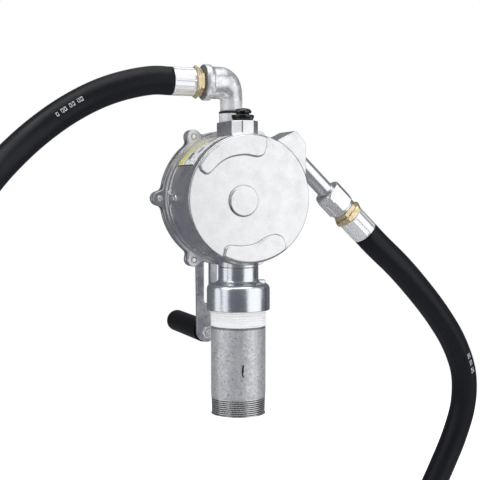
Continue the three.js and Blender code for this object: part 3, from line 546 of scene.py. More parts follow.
class Look:
    """A Principled material, with short ways to feed it from procedural nodes in object space."""

    def __init__(self, name, metallic=0.0, roughness=0.5):
        self.material = bpy.data.materials.new(name)
        self.material.use_nodes = True
        self.tree = self.material.node_tree
        self.shader = self.tree.nodes["Principled BSDF"]
        self.set("Metallic", metallic)
        self.set("Roughness", roughness)
        self.place = self.add("ShaderNodeTexCoord").outputs["Object"]
        self.surface_normal = None

    def add(self, kind, **settings):
        node = self.tree.nodes.new(kind)
        for key, value in settings.items():
            setattr(node, key, value)
        return node

    def set(self, name, value):
        self.shader.inputs[name].default_value = value

    def feed(self, socket, value):
        """Links a node's output to a socket, or sets the socket to a number."""
        if isinstance(value, bpy.types.NodeSocket):
            self.tree.links.new(value, socket)
        else:
            socket.default_value = value

    def stretched(self, stretch):
        node = self.add("ShaderNodeVectorMath", operation="MULTIPLY")
        self.feed(node.inputs[0], self.place)
        node.inputs[1].default_value = stretch
        return node.outputs[0]

    def noise(self, size, detail=2.0, stretch=None, roughness=0.5, distortion=0.0):
        """Noise from 0 to 1 in patches of about size millimetres."""
        node = self.add("ShaderNodeTexNoise")
        self.feed(node.inputs["Vector"], self.stretched(stretch) if stretch else self.place)
        node.inputs["Scale"].default_value = 1 / (size * MM)
        node.inputs["Detail"].default_value = detail
        node.inputs["Roughness"].default_value = roughness
        node.inputs["Distortion"].default_value = distortion
        return node.outputs["Fac"]

    def shades(self, size, stretch=None):
        """A random grey for each cell of about size millimetres."""
        node = self.add("ShaderNodeTexVoronoi")
        self.feed(node.inputs["Vector"], self.stretched(stretch) if stretch else self.place)
        node.inputs["Scale"].default_value = 1 / (size * MM)
        split = self.add("ShaderNodeSeparateColor")
        self.tree.links.new(node.outputs["Color"], split.inputs[0])
        return split.outputs[0]

    def axis(self, which):
        """X, Y or Z in the row frame, in millimetres."""
        split = self.add("ShaderNodeSeparateXYZ")
        self.tree.links.new(self.place, split.inputs[0])
        return self.times(split.outputs[which], 1 / MM)

    def attribute(self, name):
        return self.add("ShaderNodeAttribute", attribute_name=name).outputs["Fac"]

    def math(self, operation, *values):
        node = self.add("ShaderNodeMath", operation=operation)
        for socket, value in zip(node.inputs, values):
            self.feed(socket, value)
        return node.outputs[0]

    def times(self, first, second):
        return self.math("MULTIPLY", first, second)

    def plus(self, first, second):
        return self.math("ADD", first, second)

    def remap(self, value, low, high, to_low=0.0, to_high=1.0):
        """Carries value from low..high to to_low..to_high, held at the ends."""
        node = self.add("ShaderNodeMapRange")
        for key, number in zip(
            ("From Min", "From Max", "To Min", "To Max"), (low, high, to_low, to_high)
        ):
            node.inputs[key].default_value = number
        self.feed(node.inputs["Value"], value)
        return node.outputs["Result"]

    def between(self, value, low, high, edge=0.1):
        """1 where value lies from low to high, 0 elsewhere."""
        rising = self.remap(value, low - edge, low + edge)
        falling = self.remap(value, high - edge, high + edge, 1.0, 0.0)
        return self.times(rising, falling)

    def mix(self, share, first, second):
        """A colour between two, each an (r, g, b) or a socket."""
        node = self.add("ShaderNodeMix", data_type="RGBA")
        self.feed(node.inputs["Factor"], share)
        for key, colour in (("A", first), ("B", second)):
            if isinstance(colour, tuple):
                colour = (*colour, 1)
            self.feed([i for i in node.inputs if i.name == key and i.type == "RGBA"][0], colour)
        return [o for o in node.outputs if o.type == "RGBA"][0]

    def colour(self, value):
        if isinstance(value, tuple):
            value = (*value, 1)
        self.feed(self.shader.inputs["Base Color"], value)

    def metal(self, value):
        self.feed(self.shader.inputs["Metallic"], value)

    def rough(self, value):
        self.feed(self.shader.inputs["Roughness"], value)

    def bump(self, height, depth, strength=1.0):
        """Adds relief: height from 0 to 1 stands for depth millimetres."""
        node = self.add("ShaderNodeBump")
        node.inputs["Distance"].default_value = depth * MM
        node.inputs["Strength"].default_value = strength
        self.feed(node.inputs["Height"], height)
        if self.surface_normal is not None:
            self.feed(node.inputs["Normal"], self.surface_normal)
        self.surface_normal = node.outputs["Normal"]
        self.feed(self.shader.inputs["Normal"], self.surface_normal)


RELIEF = 10.0  # added to the distance from a raised outline, so that 0 can mean none near


def cast_look():
    """Tumbled cast aluminium: pale, satin, faintly clouded, with small scuffs, and painted shade round
    the raised outlines on the face.
    """
    look = Look("cast_aluminium", metallic=1.0)
    clouds = look.noise(16, detail=4, roughness=0.6)
    grain = look.noise(1.6, detail=3)
    shade = look.mix(look.remap(clouds, 0.32, 0.68), (0.68, 0.685, 0.69), (0.885, 0.885, 0.88))
    scuffs = look.remap(look.noise(7, detail=6, roughness=0.75, distortion=1.2), 0.60, 0.70)
    shade = look.mix(look.times(scuffs, 0.35), shade, (0.56, 0.57, 0.58))
    corner = look.between(look.attribute("relief"), RELIEF - 0.15, RELIEF + 0.75, 0.35)  # painted shade in the corners round the raised pads, the shaft boss and the face's rim
    look.colour(look.mix(look.times(corner, 0.62), shade, (0.20, 0.21, 0.22)))
    texture = look.plus(clouds, look.times(grain, 0.4))
    look.rough(look.remap(texture, 0.45, 0.95, 0.23, 0.37))
    look.bump(clouds, 0.25, 0.35)
    look.bump(grain, 0.03, 0.5)
    look.bump(look.noise(0.55, detail=2), 0.01, 0.5)
    return look.material


def polished_look():
    """Turned and polished aluminium, a little blue, with fine tool rings and small dents."""
    look = Look("polished_aluminium", metallic=1.0)
    rings = look.noise(0.7, detail=2, stretch=(0.03, 0.03, 1.0))
    clouds = look.noise(12, detail=3)
    look.colour(look.mix(clouds, (0.70, 0.735, 0.78), (0.84, 0.86, 0.88)))
    look.rough(look.remap(look.plus(rings, clouds), 0.7, 1.3, 0.19, 0.30))
    look.bump(look.noise(9, detail=2), 0.10, 0.4)
    look.bump(rings, 0.012, 0.6)
    return look.material


def bright_look(name, metallic, dark):
    """Bright drawn or turned metal: the less metallic, the paler and softer it is."""
    look = Look(name, metallic=metallic)
    marks = look.noise(1.0, detail=3, roughness=0.6)
    clouds = look.noise(6, detail=2)
    look.colour(look.mix(clouds, (dark, dark, dark + 0.01), (0.95, 0.95, 0.95)))
    look.rough(look.remap(marks, 0.3, 0.7, 0.16, 0.26))
    look.bump(marks, 0.006, 0.5)
    look.bump(look.noise(6, detail=1), 0.08, 0.4)
    return look.material


def elbow_look():
    """Hot-dip galvanised malleable iron: lumpy, clouded and spangled, with the leg painted bright and
    painted shade at the mouth.
    """
    look = Look("galvanised_iron")
    spangle = look.shades(3.2)
    clouds = look.noise(11, detail=4, roughness=0.6)
    grey = look.mix(look.remap(clouds, 0.30, 0.60), (0.42, 0.435, 0.46), (0.97, 0.97, 0.97))
    grey = look.mix(look.times(spangle, 0.2), grey, (0.66, 0.67, 0.69))
    # Painted highlight: below the bend the colour turns near white and less metallic, for the bright
    # light that the upright leg reflects.
    leg = look.remap(look.axis("Z"), ELBOW_Z - 26, ELBOW_Z - 14, 0.85, 0.0)
    grey = look.mix(leg, grey, (0.97, 0.97, 0.97))
    look.metal(look.remap(leg, 0.0, 0.85, 0.62, 0.2))
    # Painted shade: the end face at the mouth and its last millimetre go dark, for the shade in the
    # gap against the brass fitting.
    mouth = look.remap(look.axis("X"), -ELBOW_END + 0.7, -ELBOW_END + 1.7, 0.75, 0.0)
    look.colour(look.mix(mouth, grey, (0.09, 0.10, 0.11)))
    look.rough(look.remap(look.plus(spangle, clouds), 0.5, 1.4, 0.22, 0.38))
    look.bump(look.noise(5.5, detail=3, roughness=0.6), 0.40, 0.5)
    look.bump(look.noise(1.2, detail=2), 0.04, 0.6)
    return look.material


SCRATCH_LOW, SCRATCH_HIGH = 44, 57.5  # height of the scratch on the pipe
SCRATCH_X = -6.3


def pipe_look():
    """Galvanised steel pipe: dull mottled zinc with streaks and specks, a painted shadow below the
    tape, and a bare cut thread with painted shade in its grooves and painted highlight on its crests.
    """
    look = Look("galvanised_pipe")
    height = look.axis("Z")
    mottle = look.noise(2.4, detail=5, roughness=0.72)
    streaks = look.noise(4, detail=4, stretch=(1, 1, 0.2), roughness=0.6)
    clouds = look.noise(14, detail=3)
    zinc = look.mix(look.remap(mottle, 0.33, 0.67), (0.34, 0.345, 0.36), (0.76, 0.765, 0.78))
    zinc = look.mix(look.remap(streaks, 0.35, 0.7, 0.0, 0.6), zinc, (0.66, 0.67, 0.68))
    zinc = look.mix(look.remap(clouds, 0.5, 0.8, 0.0, 0.5), zinc, (0.42, 0.425, 0.44))
    specks = look.remap(look.noise(3.2, detail=5, roughness=0.75, distortion=0.6), 0.59, 0.64)
    zinc = look.mix(look.times(specks, 0.75), zinc, (0.10, 0.10, 0.105))
    # Painted shadow: a dark band round the pipe just below the tape's lower edge.
    rim = look.between(height, TAPE_LOW - 2.2, TAPE_LOW + 1, 0.5)
    zinc = look.mix(look.times(rim, 0.7), zinc, (0.10, 0.10, 0.105))
    wander = look.times(look.math("SUBTRACT", look.noise(5, detail=2), 0.5), 4.0)
    off_line = look.math("ABSOLUTE", look.plus(look.axis("X"), wander))
    off_line = look.math("ABSOLUTE", look.math("SUBTRACT", off_line, -SCRATCH_X))
    scratch = look.times(
        look.remap(off_line, 0.6, 1.0, 1.0, 0.0),
        look.between(height, SCRATCH_LOW, SCRATCH_HIGH, 0.8),
    )
    front = look.remap(look.axis("Y"), -20.0, -18.0, 1.0, 0.0)
    left = look.remap(look.axis("X"), -1.0, 0.0, 1.0, 0.0)
    scratch = look.times(scratch, look.times(front, left))
    zinc = look.mix(scratch, zinc, (0.015, 0.015, 0.015))
    cut = look.remap(height, THREAD_TOP - 2.6, THREAD_TOP - 0.6, 1.0, 0.0)
    # Painted shade and highlight on the bare thread: dark down in its grooves, bright on its crests.
    painted_thread_light = look.remap(look.attribute("depth"), 0.35, 0.0, 0.0, 1.0)
    bare = look.mix(painted_thread_light, (0.11, 0.11, 0.11), (0.80, 0.80, 0.79))
    bare = look.mix(look.remap(mottle, 0.35, 0.65, 0.0, 0.2), bare, (0.30, 0.30, 0.295))
    look.colour(look.mix(cut, zinc, bare))
    look.metal(look.remap(cut, 0.0, 1.0, 0.6, 0.85))
    dull = look.remap(mottle, 0.3, 0.7, 0.50, 0.36)
    look.rough(look.times(dull, look.remap(cut, 0.0, 1.0, 1.0, 0.65)))
    look.bump(look.noise(6, detail=3), 0.22, 0.5)
    look.bump(look.times(mottle, look.remap(cut, 0.0, 1.0, 1.0, 0.2)), 0.09, 0.7)
    return look.material


def zinc_look():
    """Zinc-plated steel, grey with a faint violet cast."""
    look = Look("zinc_steel", metallic=0.85)
    clouds = look.noise(5, detail=4, roughness=0.6)
    look.colour(look.mix(look.remap(clouds, 0.3, 0.7), (0.42, 0.42, 0.46), (0.64, 0.64, 0.67)))
    look.rough(look.remap(clouds, 0.3, 0.7, 0.26, 0.38))
    look.bump(look.noise(2.2, detail=3), 0.06, 0.5)
    return look.material


def steel_look():
    """Ground steel with fine turning marks."""
    look = Look("steel", metallic=1.0)
    marks = look.noise(0.6, detail=2, stretch=(0.05, 1.0, 0.05))
    look.colour(look.mix(marks, (0.42, 0.43, 0.44), (0.60, 0.61, 0.62)))
    look.rough(look.remap(look.noise(4, detail=3), 0.3, 0.7, 0.24, 0.36))
    look.bump(marks, 0.02, 0.6)
    return look.material


def brass_look():
    """Pale machined brass."""
    look = Look("brass", metallic=0.85)
    clouds = look.noise(4, detail=3)
    look.colour(look.mix(look.remap(clouds, 0.3, 0.7), (0.62, 0.49, 0.28), (0.84, 0.73, 0.49)))
    look.rough(look.remap(clouds, 0.3, 0.7, 0.18, 0.30))
    look.bump(look.noise(0.9, detail=2), 0.02, 0.6)
    return look.material


def moulded_look(name, colour, low, high, grain, depth, shine=0.5):
    """Moulded plastic or rubber: roughness from low to high, relief of grain by depth in mm."""
    look = Look(name)
    look.set("Specular IOR Level", shine)
    clouds = look.noise(8, detail=3)
    dust = look.remap(look.noise(2.5, detail=5, roughness=0.75), 0.58, 0.75)
    lighter = tuple(c * 2.2 + 0.004 for c in colour)
    look.colour(look.mix(look.times(dust, 0.6), colour, lighter))
    look.rough(look.remap(clouds, 0.3, 0.7, low, high))
    look.bump(look.noise(grain, detail=2), depth, 0.6)
    return look.material


PRINT_RUNS = [(102.5, 137.0), (1537.0, 1566.0)]  # stretches of marks along the hose
MARK_PITCH, GROUP_PITCH = 3.7, 10.2  # the marks stand in pairs
MARK_WIDTH, MARK_HEIGHT = 2.9, 4.6


def hose_look():
    """Smooth black rubber with the faint cross weave of its wrapping and runs of plain marks."""
    look = Look("hose_rubber")
    look.set("Specular IOR Level", 0.25)
    along = look.attribute("along")
    side = look.attribute("side")
    front = look.attribute("front")
    patches = look.noise(22, detail=3)
    dust = look.remap(look.noise(3.5, detail=5, roughness=0.75), 0.55, 0.8)
    clean, dusty = (0.0045, 0.005, 0.008), (0.013, 0.014, 0.019)
    rubber = look.mix(look.times(dust, 0.5), clean, dusty)
    in_run = [look.between(along, low, high, 0.1) for low, high in PRINT_RUNS]
    starts = [look.times(run, low) for run, (low, _) in zip(in_run, PRINT_RUNS)]
    since = look.math("SUBTRACT", along, look.plus(*starts))
    group = look.times(look.math("FRACT", look.math("DIVIDE", since, GROUP_PITCH)), GROUP_PITCH)
    mark = look.math("FRACT", look.math("DIVIDE", group, MARK_PITCH))
    from_middle = look.math("ABSOLUTE", look.times(look.math("SUBTRACT", mark, 0.5), MARK_PITCH))
    reach = look.math(
        "MAXIMUM",
        look.math("DIVIDE", from_middle, MARK_WIDTH / 2),
        look.math("DIVIDE", look.math("ABSOLUTE", side), MARK_HEIGHT / 2),
    )
    inked = look.between(reach, 0.56, 1.0, 0.06)
    inked = look.times(inked, look.math("LESS_THAN", group, 2 * MARK_PITCH))
    inked = look.times(inked, look.math("GREATER_THAN", front, 0.0))
    inked = look.times(inked, look.plus(*in_run))
    worn = look.remap(look.noise(1.1, detail=3), 0.38, 0.5)
    inked = look.times(inked, worn)
    look.colour(look.mix(inked, rubber, (0.62, 0.63, 0.65)))
    look.rough(look.remap(patches, 0.3, 0.7, 0.34, 0.46))
    turn = look.times(look.attribute("turn"), HOSE_RADIUS)
    for slope in (1.0, -1.0):
        lay = look.plus(along, look.times(turn, slope))
        wave = look.math("SINE", look.times(lay, 2 * math.pi / 1.6))
        look.bump(wave, 0.012, 0.5)
    look.bump(look.noise(1.4, detail=3), 0.05, 0.5)
    look.bump(patches, 0.5, 0.3)
    return look.material


def tape_look():
    """White thread-seal tape wound round: soft, with the edges of its turns and fine creases, the
    creases painted darker as shade.
    """
    look = Look("ptfe_tape", roughness=0.55)
    creases = look.noise(1.1, detail=4, stretch=(0.10, 0.10, 1.0), roughness=0.65)
    wraps = look.remap(look.noise(2.6, detail=2, stretch=(0.05, 0.05, 1.0)), 0.44, 0.52)
    # Painted shade: the tape is darker where its creases dip.
    shade = look.mix(look.remap(creases, 0.35, 0.65), (0.78, 0.785, 0.79), (0.93, 0.93, 0.925))
    look.colour(look.mix(look.times(wraps, 0.4), shade, (0.93, 0.93, 0.92)))
    look.set("Subsurface Weight", 0.1)
    look.set("Subsurface Radius", (0.002, 0.002, 0.002))
    look.bump(wraps, 0.18, 0.8)
    look.bump(creases, 0.14, 0.8)
    return look.material


def paper_look():
    look = Look("gasket_paper", roughness=0.85)
    fibre = look.noise(0.8, detail=4, stretch=(1, 1, 0.3))
    look.colour(look.mix(fibre, (0.10, 0.105, 0.11), (0.20, 0.20, 0.205)))
    look.bump(fibre, 0.04, 0.6)
    return look.material


def graphite_look():
    look = Look("graphite", metallic=0.3, roughness=0.5)
    sheen = look.noise(2.0, detail=3, stretch=(1, 0.2, 1))
    look.colour(look.mix(sheen, (0.030, 0.031, 0.034), (0.075, 0.076, 0.08)))
    look.rough(look.remap(sheen, 0.3, 0.7, 0.40, 0.58))
    look.bump(sheen, 0.02, 0.5)
    return look.material


LABEL_FRONT, LABEL_BACK = -24.0, 29.6
LABEL_FROM, LABEL_TO = 106.0, 150.0
PANEL_EDGE, YELLOW_EDGE = 7.5, 13.5  # where the label's bands meet


def label_look():
    """A printed film: a yellow band, a white one and a panel, each with bars for its print, and
    painted shade along its back edge.
    """
    look = Look("label_film", roughness=0.32)
    look.set("Specular IOR Level", 0.2)
    across = look.attribute("across")  # along the pump axis
    down = look.attribute("down")  # round the barrel, from the lower end

    def cells_of(value, pitch):
        return look.math("FLOOR", look.math("DIVIDE", value, pitch))

    def random_of(first, second):
        """A fixed random number for each cell of a grid."""
        vector = look.add("ShaderNodeCombineXYZ")
        look.feed(vector.inputs[0], first)
        look.feed(vector.inputs[1], second)
        node = look.add("ShaderNodeTexWhiteNoise", noise_dimensions="2D")
        look.tree.links.new(vector.outputs[0], node.inputs["Vector"])
        return node.outputs["Value"]

    def rules(pitch, length, share):
        """Rows of bars that stand for lines of small print."""
        row = cells_of(across, pitch)
        bar = look.math("LESS_THAN", random_of(row, cells_of(down, length)), share)
        within = look.math("FRACT", look.math("DIVIDE", across, pitch))
        return look.times(bar, look.between(within, 0.2, 0.8, 0.08))

    white = (0.96, 0.96, 0.95)
    ink = (0.025, 0.025, 0.03)
    small = look.mix(look.times(rules(3.3, 3.0, 0.15), 0.7), white, ink)
    panel = look.mix(look.times(rules(2.6, 1.6, 0.20), 0.8), (0.94, 0.94, 0.94), ink)
    block = look.math("LESS_THAN", random_of(cells_of(across, 7.0), cells_of(down, 9.0)), 0.18)
    panel = look.mix(look.times(block, 0.8), panel, (0.06, 0.06, 0.065))
    yellow = look.mix(
        look.times(rules(4.0, 3.4, 0.30), 0.8), (0.98, 0.86, 0.25), (0.98, 0.95, 0.85)
    )
    film = look.mix(look.math("LESS_THAN", across, PANEL_EDGE), small, panel)
    film = look.mix(look.math("GREATER_THAN", across, YELLOW_EDGE), film, yellow)
    film = look.mix(look.between(across, PANEL_EDGE, PANEL_EDGE + 1.6, 0.1), film, ink)
    # Painted shade: the yellow darkens along the label's back edge, in the corner against the flange's
    # ridge.
    painted_ridge_shade = look.between(across, LABEL_BACK - 1.6, LABEL_BACK, 0.1)
    film = look.mix(painted_ridge_shade, film, (0.12, 0.10, 0.03))
    film = look.mix(look.between(down, 0.0, 1.6, 0.1), film, ink)
    inner = look.between(across, LABEL_FRONT + 0.9, LABEL_BACK, 0.1)
    arc_length = math.radians(LABEL_TO - LABEL_FROM) * (HEAD_R + 0.5)
    inner = look.times(inner, look.between(down, 0.0, arc_length - 0.9, 0.1))
    look.colour(look.mix(inner, (0.85, 0.85, 0.86), film))
    look.rough(look.remap(look.noise(3, detail=3), 0.3, 0.7, 0.26, 0.40))
    look.bump(look.noise(8, detail=2), 0.08, 0.4)
    return look.material


LOOKS = {
    "cast_aluminium": cast_look(),
    "polished_aluminium": polished_look(),
    "galvanised_iron": elbow_look(),
    "galvanised_pipe": pipe_look(),
    "zinc_steel": zinc_look(),
    "steel": steel_look(),
    "brass": brass_look(),
    "black_plastic": moulded_look("black_plastic", (0.002, 0.002, 0.0025), 0.05, 0.12, 2.0, 0.01, 0.7),
    "black_grip": moulded_look("black_grip", (0.003, 0.003, 0.0033), 0.22, 0.32, 3.0, 0.06, 0.06),
    "hose_rubber": hose_look(),
    "seal_rubber": moulded_look("seal_rubber", (0.012, 0.012, 0.013), 0.40, 0.60, 0.5, 0.02),
    "graphite": graphite_look(),
    "gasket_paper": paper_look(),
    "ptfe_tape": tape_look(),
    "label_film": label_look(),
}
CRIMPED = bright_look("crimped_aluminium", 0.62, 0.82)
CHROMED = bright_look("chromed_metal", 0.88, 0.70)
# A paler, almost unmetallic copy of the bright metal: painted light that lifts the spigot out of the
# shade it sits in behind the cap.
PAINTED_BRIGHT_METAL = bright_look("painted_bright_aluminium", 0.06, 0.92)

# ---- distance fields ---------------------------------------------------------


def ring_of(u, v, count, turn=0.0):
    """Folds a plane round its centre into one of count equal sectors about the +u direction."""
    angle = np.arctan2(v, u) - turn
    sector = 2 * math.pi / count
    angle = angle - sector * np.round(angle / sector)
    radius = np.hypot(u, v)
    return radius * np.cos(angle), radius * np.sin(angle)


def flange_outline(x, z):
    u, v = ring_of(x, z, 6)
    return smin(np.hypot(x, z) - FLANGE_R, np.hypot(u - EAR_PITCH_R, v) - EAR_R, 7)


def screw_holes(x, z):
    u, v = ring_of(x, z, 6)
    return np.hypot(u - EAR_PITCH_R, v) - SCREW_R - 0.15


def hexagon(u, v, corner, turn=0.0):
    a, _ = ring_of(u, v, 6, turn + math.pi / 6)
    return a - corner * math.cos(math.pi / 6)


def hex_prism(u, v, s, corner, low, high, chamfer=1.2, edge=0.35, turn=0.0):
    """A hexagonal prism along s, its corners turned off at both ends."""
    flat = corner * math.cos(math.pi / 6)
    depth = (high - low) / 2 - np.abs(s - (low + high) / 2)
    slope = (corner - flat) / chamfer
    turned = (np.hypot(u, v) - flat - slope * depth) / math.hypot(1, slope)
    prism = smax(hexagon(u, v, corner, turn), -depth, edge)
    return smax(prism, turned, edge)


def nut_field(corner, low, high, bore, chamfer=1.0, edge=0.3, mouth=0.3):
    """A field for a nut along Y; edge and mouth round its outside and its bore."""

    def field(x, y, z):
        prism = hex_prism(x, z, y, corner, low, high, chamfer, edge)
        return smax(prism, bore - np.hypot(x, z), mouth)

    return field


PAD_RIM = HEAD_R - 1.2
UPPER_PAD = np.vstack(
    [
        arc((0, 0), PAD_RIM, 74, 149, 30),
        spline(
            [
                (-56.5, 29.5), (-50.5, 26), (-45, 28.2), (-36.5, 36.4), (-24, 43.6),
                (-7, 46.6), (7.5, 44.8), (14.8, 47.6), (18.4, 56),
            ]
        ),
    ]
)
LOWER_PAD = np.vstack(
    [
        arc((0, 0), PAD_RIM, -117, -53, 30),
        spline(
            [
                (40.6, -47.5), (36.6, -41.2), (29, -38.6), (18.5, -41.2), (6, -47.8),
                (-8, -50.3), (-23.5, -49.4), (-29.2, -52),
            ]
        ),
    ]
)
BOOT = [(26, 58), (33.5, 63.5), (54, 73.6), (66, 60.2), (66, 22), (55, 20)]
NOZZLE_TO_LOCAL = np.array(NOZZLE_LINE.inverted())


def nozzle_frame(x, y, z):
    """The nozzle's own coordinates of points in the row frame."""
    m = NOZZLE_TO_LOCAL
    return [m[i, 0] * x + m[i, 1] * y + m[i, 2] * z + m[i, 3] for i in range(3)]


def ridge_and_tabs(x, y, z):
    """The low ring at the flange's root, with a tab running forward from it at most of the ears."""
    front = FLANGE_Y - RIDGE_T - y
    tip = FLANGE_Y - RIDGE_T - TAB_LENGTH + TAB_HALF
    u, v = ring_of(x, z, 6)
    capsule = np.hypot(v, np.minimum(y - tip, 0)) - TAB_HALF
    degrees = np.degrees(np.arctan2(z, x)) % 360
    labelled = np.abs(degrees - 120) < 30
    outline = smin(front, np.where(labelled, 50.0, capsule), 8)
    radius = np.hypot(x, z)
    ridge = smax(front, radius - RIDGE_R, 0.5)
    tab = smax(outline, radius - HEAD_R - TAB_RAISE, 0.8)
    pit = np.sqrt((u - HEAD_R - TAB_RAISE - 0.9) ** 2 + v**2 + (y - tip - 0.5) ** 2) - 2.3
    return smin(ridge, smax(tab, -np.where(labelled, 50.0, pit), 0.4), 0.8)


def body_field(x, y, z):
    z = z - AXIS_Z
    radius = np.hypot(x, z)
    solid = smax(radius - HEAD_R, np.abs(y - 3) - 38, 1.3)
    solid = smin(solid, smax(ridge_and_tabs(x, y, z), y - FLANGE_Y - 2, 0.5), 0.9)
    solid = smin(solid, plate(flange_outline(x, z), y, FLANGE_Y, FLANGE_Y + FLANGE_T, 1.0), 0.8)
    for pad in (UPPER_PAD, LOWER_PAD):
        raised = plate(polygon(x, z, pad) + 0.2, y, FACE_Y - PAD_RAISE, FACE_Y + 3, 1.6)
        solid = smin(solid, raised, 0.7)
    shaft_boss = np.hypot(x - SHAFT_X, z - SHAFT_DZ) - SHAFT_BOSS_R
    solid = smin(solid, plate(shaft_boss, y, FACE_Y - PAD_RAISE, FACE_Y + 3, 1.6), 0.7)

    across, along = np.abs(x), np.abs(y - 3.5)
    octagon = smax(across - 15.5, along - 31.5, 0.5)
    octagon = smax(octagon, (across + along - 38) / math.sqrt(2), 0.7)
    solid = smin(solid, plate(octagon, z, 30, BOSS_TOP - AXIS_Z, 0.9), 1.8)
    solid = smin(solid, plate(polygon(x, z, BOOT), y, FACE_Y + 0.8, 9, 1.1), 1.2)
    neck = smax(np.hypot(x, y) - NECK_R, np.abs(z + 60.15) - 15, 0.6)
    solid = smin(solid, neck, 4.0)

    chamber = smax(radius - CHAMBER_R - 0.6, CHAMBER_Y - 0.6 - y, 0.8)
    bush = np.maximum(np.hypot(x - SHAFT_X, z - SHAFT_DZ) - BUSH_R - GAP, CHAMBER_Y - 6 - y)
    chamber = np.minimum(chamber, bush)
    ports = np.minimum(
        np.maximum(np.hypot(x, y - OUTLET_Y) - OUTLET_R, 40 - z),
        np.maximum(np.hypot(x, y - BREAKER_Y) - BREAKER_R, 40 - z),
    )
    inlet = np.maximum(np.hypot(x, y) - INLET_R, z + 45)
    u, v, s = nozzle_frame(x, y, z + AXIS_Z)
    pocket = np.maximum(np.hypot(u, v) - SPOUT_R - 0.8, SPOUT_TIP - 3 - s)
    holes = np.maximum(screw_holes(x, z), FLANGE_Y - 1 - y)
    hollow = np.minimum(np.minimum(chamber, ports), np.minimum(inlet, pocket))
    return smax(solid, -np.minimum(hollow, holes), 0.5)


def corner_distance(x, y, z):
    """RELIEF plus the distance outside the face's raised outlines, or 0 away from the face; it places
    the painted shade round them.
    """
    z = z - AXIS_Z
    pads = np.minimum(polygon(x, z, UPPER_PAD), polygon(x, z, LOWER_PAD))
    boss = np.hypot(x - SHAFT_X, z - SHAFT_DZ) - SHAFT_BOSS_R
    rim = np.hypot(x, z) - HEAD_R
    raised = np.minimum(pads, boss)
    inside = np.where(np.abs(rim) < np.abs(raised), rim - 0.3, raised)
    return np.where(y < FACE_Y + 1.5, RELIEF + inside, 0)


def cover_field(x, y, z):
    z = z - AXIS_Z
    solid = plate(flange_outline(x, z), y, COVER_Y, COVER_BACK, 1.6)
    radius = np.hypot(x - SHAFT_X, z - SHAFT_DZ)
    for size, height, edge in ((26, COVER_BACK + 3, 2.5), (17.3, GLAND_Y, 1.5)):
        solid = smin(solid, plate(radius - size, y, COVER_Y + 2, height, edge), 2.5)
    rib = np.abs(np.hypot(x, z) - 64.3) - 2.2
    solid = smin(solid, plate(rib, y, COVER_BACK - 3, COVER_BACK + 2.5, 1.4), 1.5)
    u, v = ring_of(x - SHAFT_X, z - SHAFT_DZ, 6, math.pi / 6)
    web = np.maximum(np.abs(v) - 2.0, np.maximum(18 - u, np.hypot(x, z) - 63))
    solid = smin(solid, plate(web, y, COVER_BACK - 3, COVER_BACK + 2.2, 1.2), 1.8)
    bore = np.minimum(radius - BUSH_R - GAP, screw_holes(x, z))
    return smax(solid, -bore, 0.5)


def arm_field(x, y, z):
    """The crank arm about the shaft: x across, z down to the grip."""
    top = np.hypot(x, z) - ARM_W / 2 - 2
    bottom = np.hypot(x, z + THROW) - ARM_W / 2
    share = np.clip(-z / THROW, 0, 1)
    between = np.maximum(np.abs(x) - (ARM_W / 2 + 2 - 2 * share), np.maximum(z, -THROW - z))
    outline = np.minimum(np.minimum(top, bottom), between)
    slot = np.hypot(x, z - np.clip(z, SLOT_SHORT - THROW, -SLOT_FROM)) - SLOT_R
    square = np.maximum(np.abs(x), np.abs(z)) - SQUARE / 2 - GAP
    hole = np.hypot(x, z + THROW) - GRIP_BOLT_R - GAP
    outline = smax(outline, -np.minimum(np.minimum(slot, square), hole), 0.4)
    return plate(outline, y, ARM_Y, ARM_Y + ARM_T, 0.9)


def shaft_field(x, y, z):
    journal = smax(np.hypot(x, z) - SHAFT_R, np.maximum(-32 - y, y - ARM_Y + 1.2), 0.8)
    square = np.maximum(np.abs(x), np.abs(z)) - SQUARE / 2
    square = smax(square, np.abs(y - ARM_Y - 1.5) - 4.2, 0.6)
    thread = np.abs(((y / 1.25 + np.arctan2(z, x) / (2 * math.pi)) % 1) - 0.5) * 1.1
    stud = smax(np.hypot(x, z) - STUD_R + thread, np.abs(y - ARM_Y - 7.5) - 7.5, 0.5)
    return np.minimum(np.minimum(journal, square), stud)


def hose_tail(hex_start, flange_start, flange_end):
    """A field for the brass fitting: hexagon, wide hexagonal flange and a collar at each end."""

    def field(u, v, s):
        solid = hex_prism(u, v, s, FITTING_HEX_R, hex_start, flange_start + 1, 1.3)
        wide = hex_prism(u, v, s, FITTING_FLANGE_R, flange_start, flange_end, 1.9)
        thread = np.abs(((s / 1.8 + np.arctan2(v, u) / (2 * math.pi)) % 1) - 0.5) * 1.2
        neck = smax(np.hypot(u, v) - FITTING_THREAD_R + thread, np.abs(s - hex_start) - 5, 0.4)
        tail = smax(np.hypot(u, v) - TAIL_R, np.abs(s - flange_end) - 4, 0.3)
        solid = np.minimum(np.minimum(solid, wide), np.minimum(neck, tail))
        return smax(solid, TAIL_BORE_R - np.hypot(u, v), 0.4)

    return field


def nozzle_body_field(u, v, s):
    """A hexagonal body with a flat milled into one face and a round collar at the hose end."""
    solid = hex_prism(u, v, s, NOZZLE_HEX_R, NOZZLE_BODY, BODY_END - 2.5, 3.2, 0.5, NOZZLE_TURN)
    collar = smax(np.hypot(u, v) - 14.6, np.abs(s - BODY_END + 5) - 5, 0.8)
    solid = smin(solid, collar, 0.8)
    normal = NOZZLE_TURN - math.pi / 6
    out = u * math.cos(normal) + v * math.sin(normal)
    side = v * math.cos(normal) - u * math.sin(normal)
    flat = np.maximum(14.2 - out, np.maximum(NOZZLE_BODY + 11 - s, side - 2.5))
    solid = smax(solid, -flat, 0.4)
    bore = np.where(s < NOZZLE_BODY + SPOUT_SEATED, SPOUT_R + GAP, SPOUT_BORE_R)
    bore = np.where(s > BODY_END - 12, SOCKET_R, bore)
    return smax(solid, bore - np.hypot(u, v), 0.3)


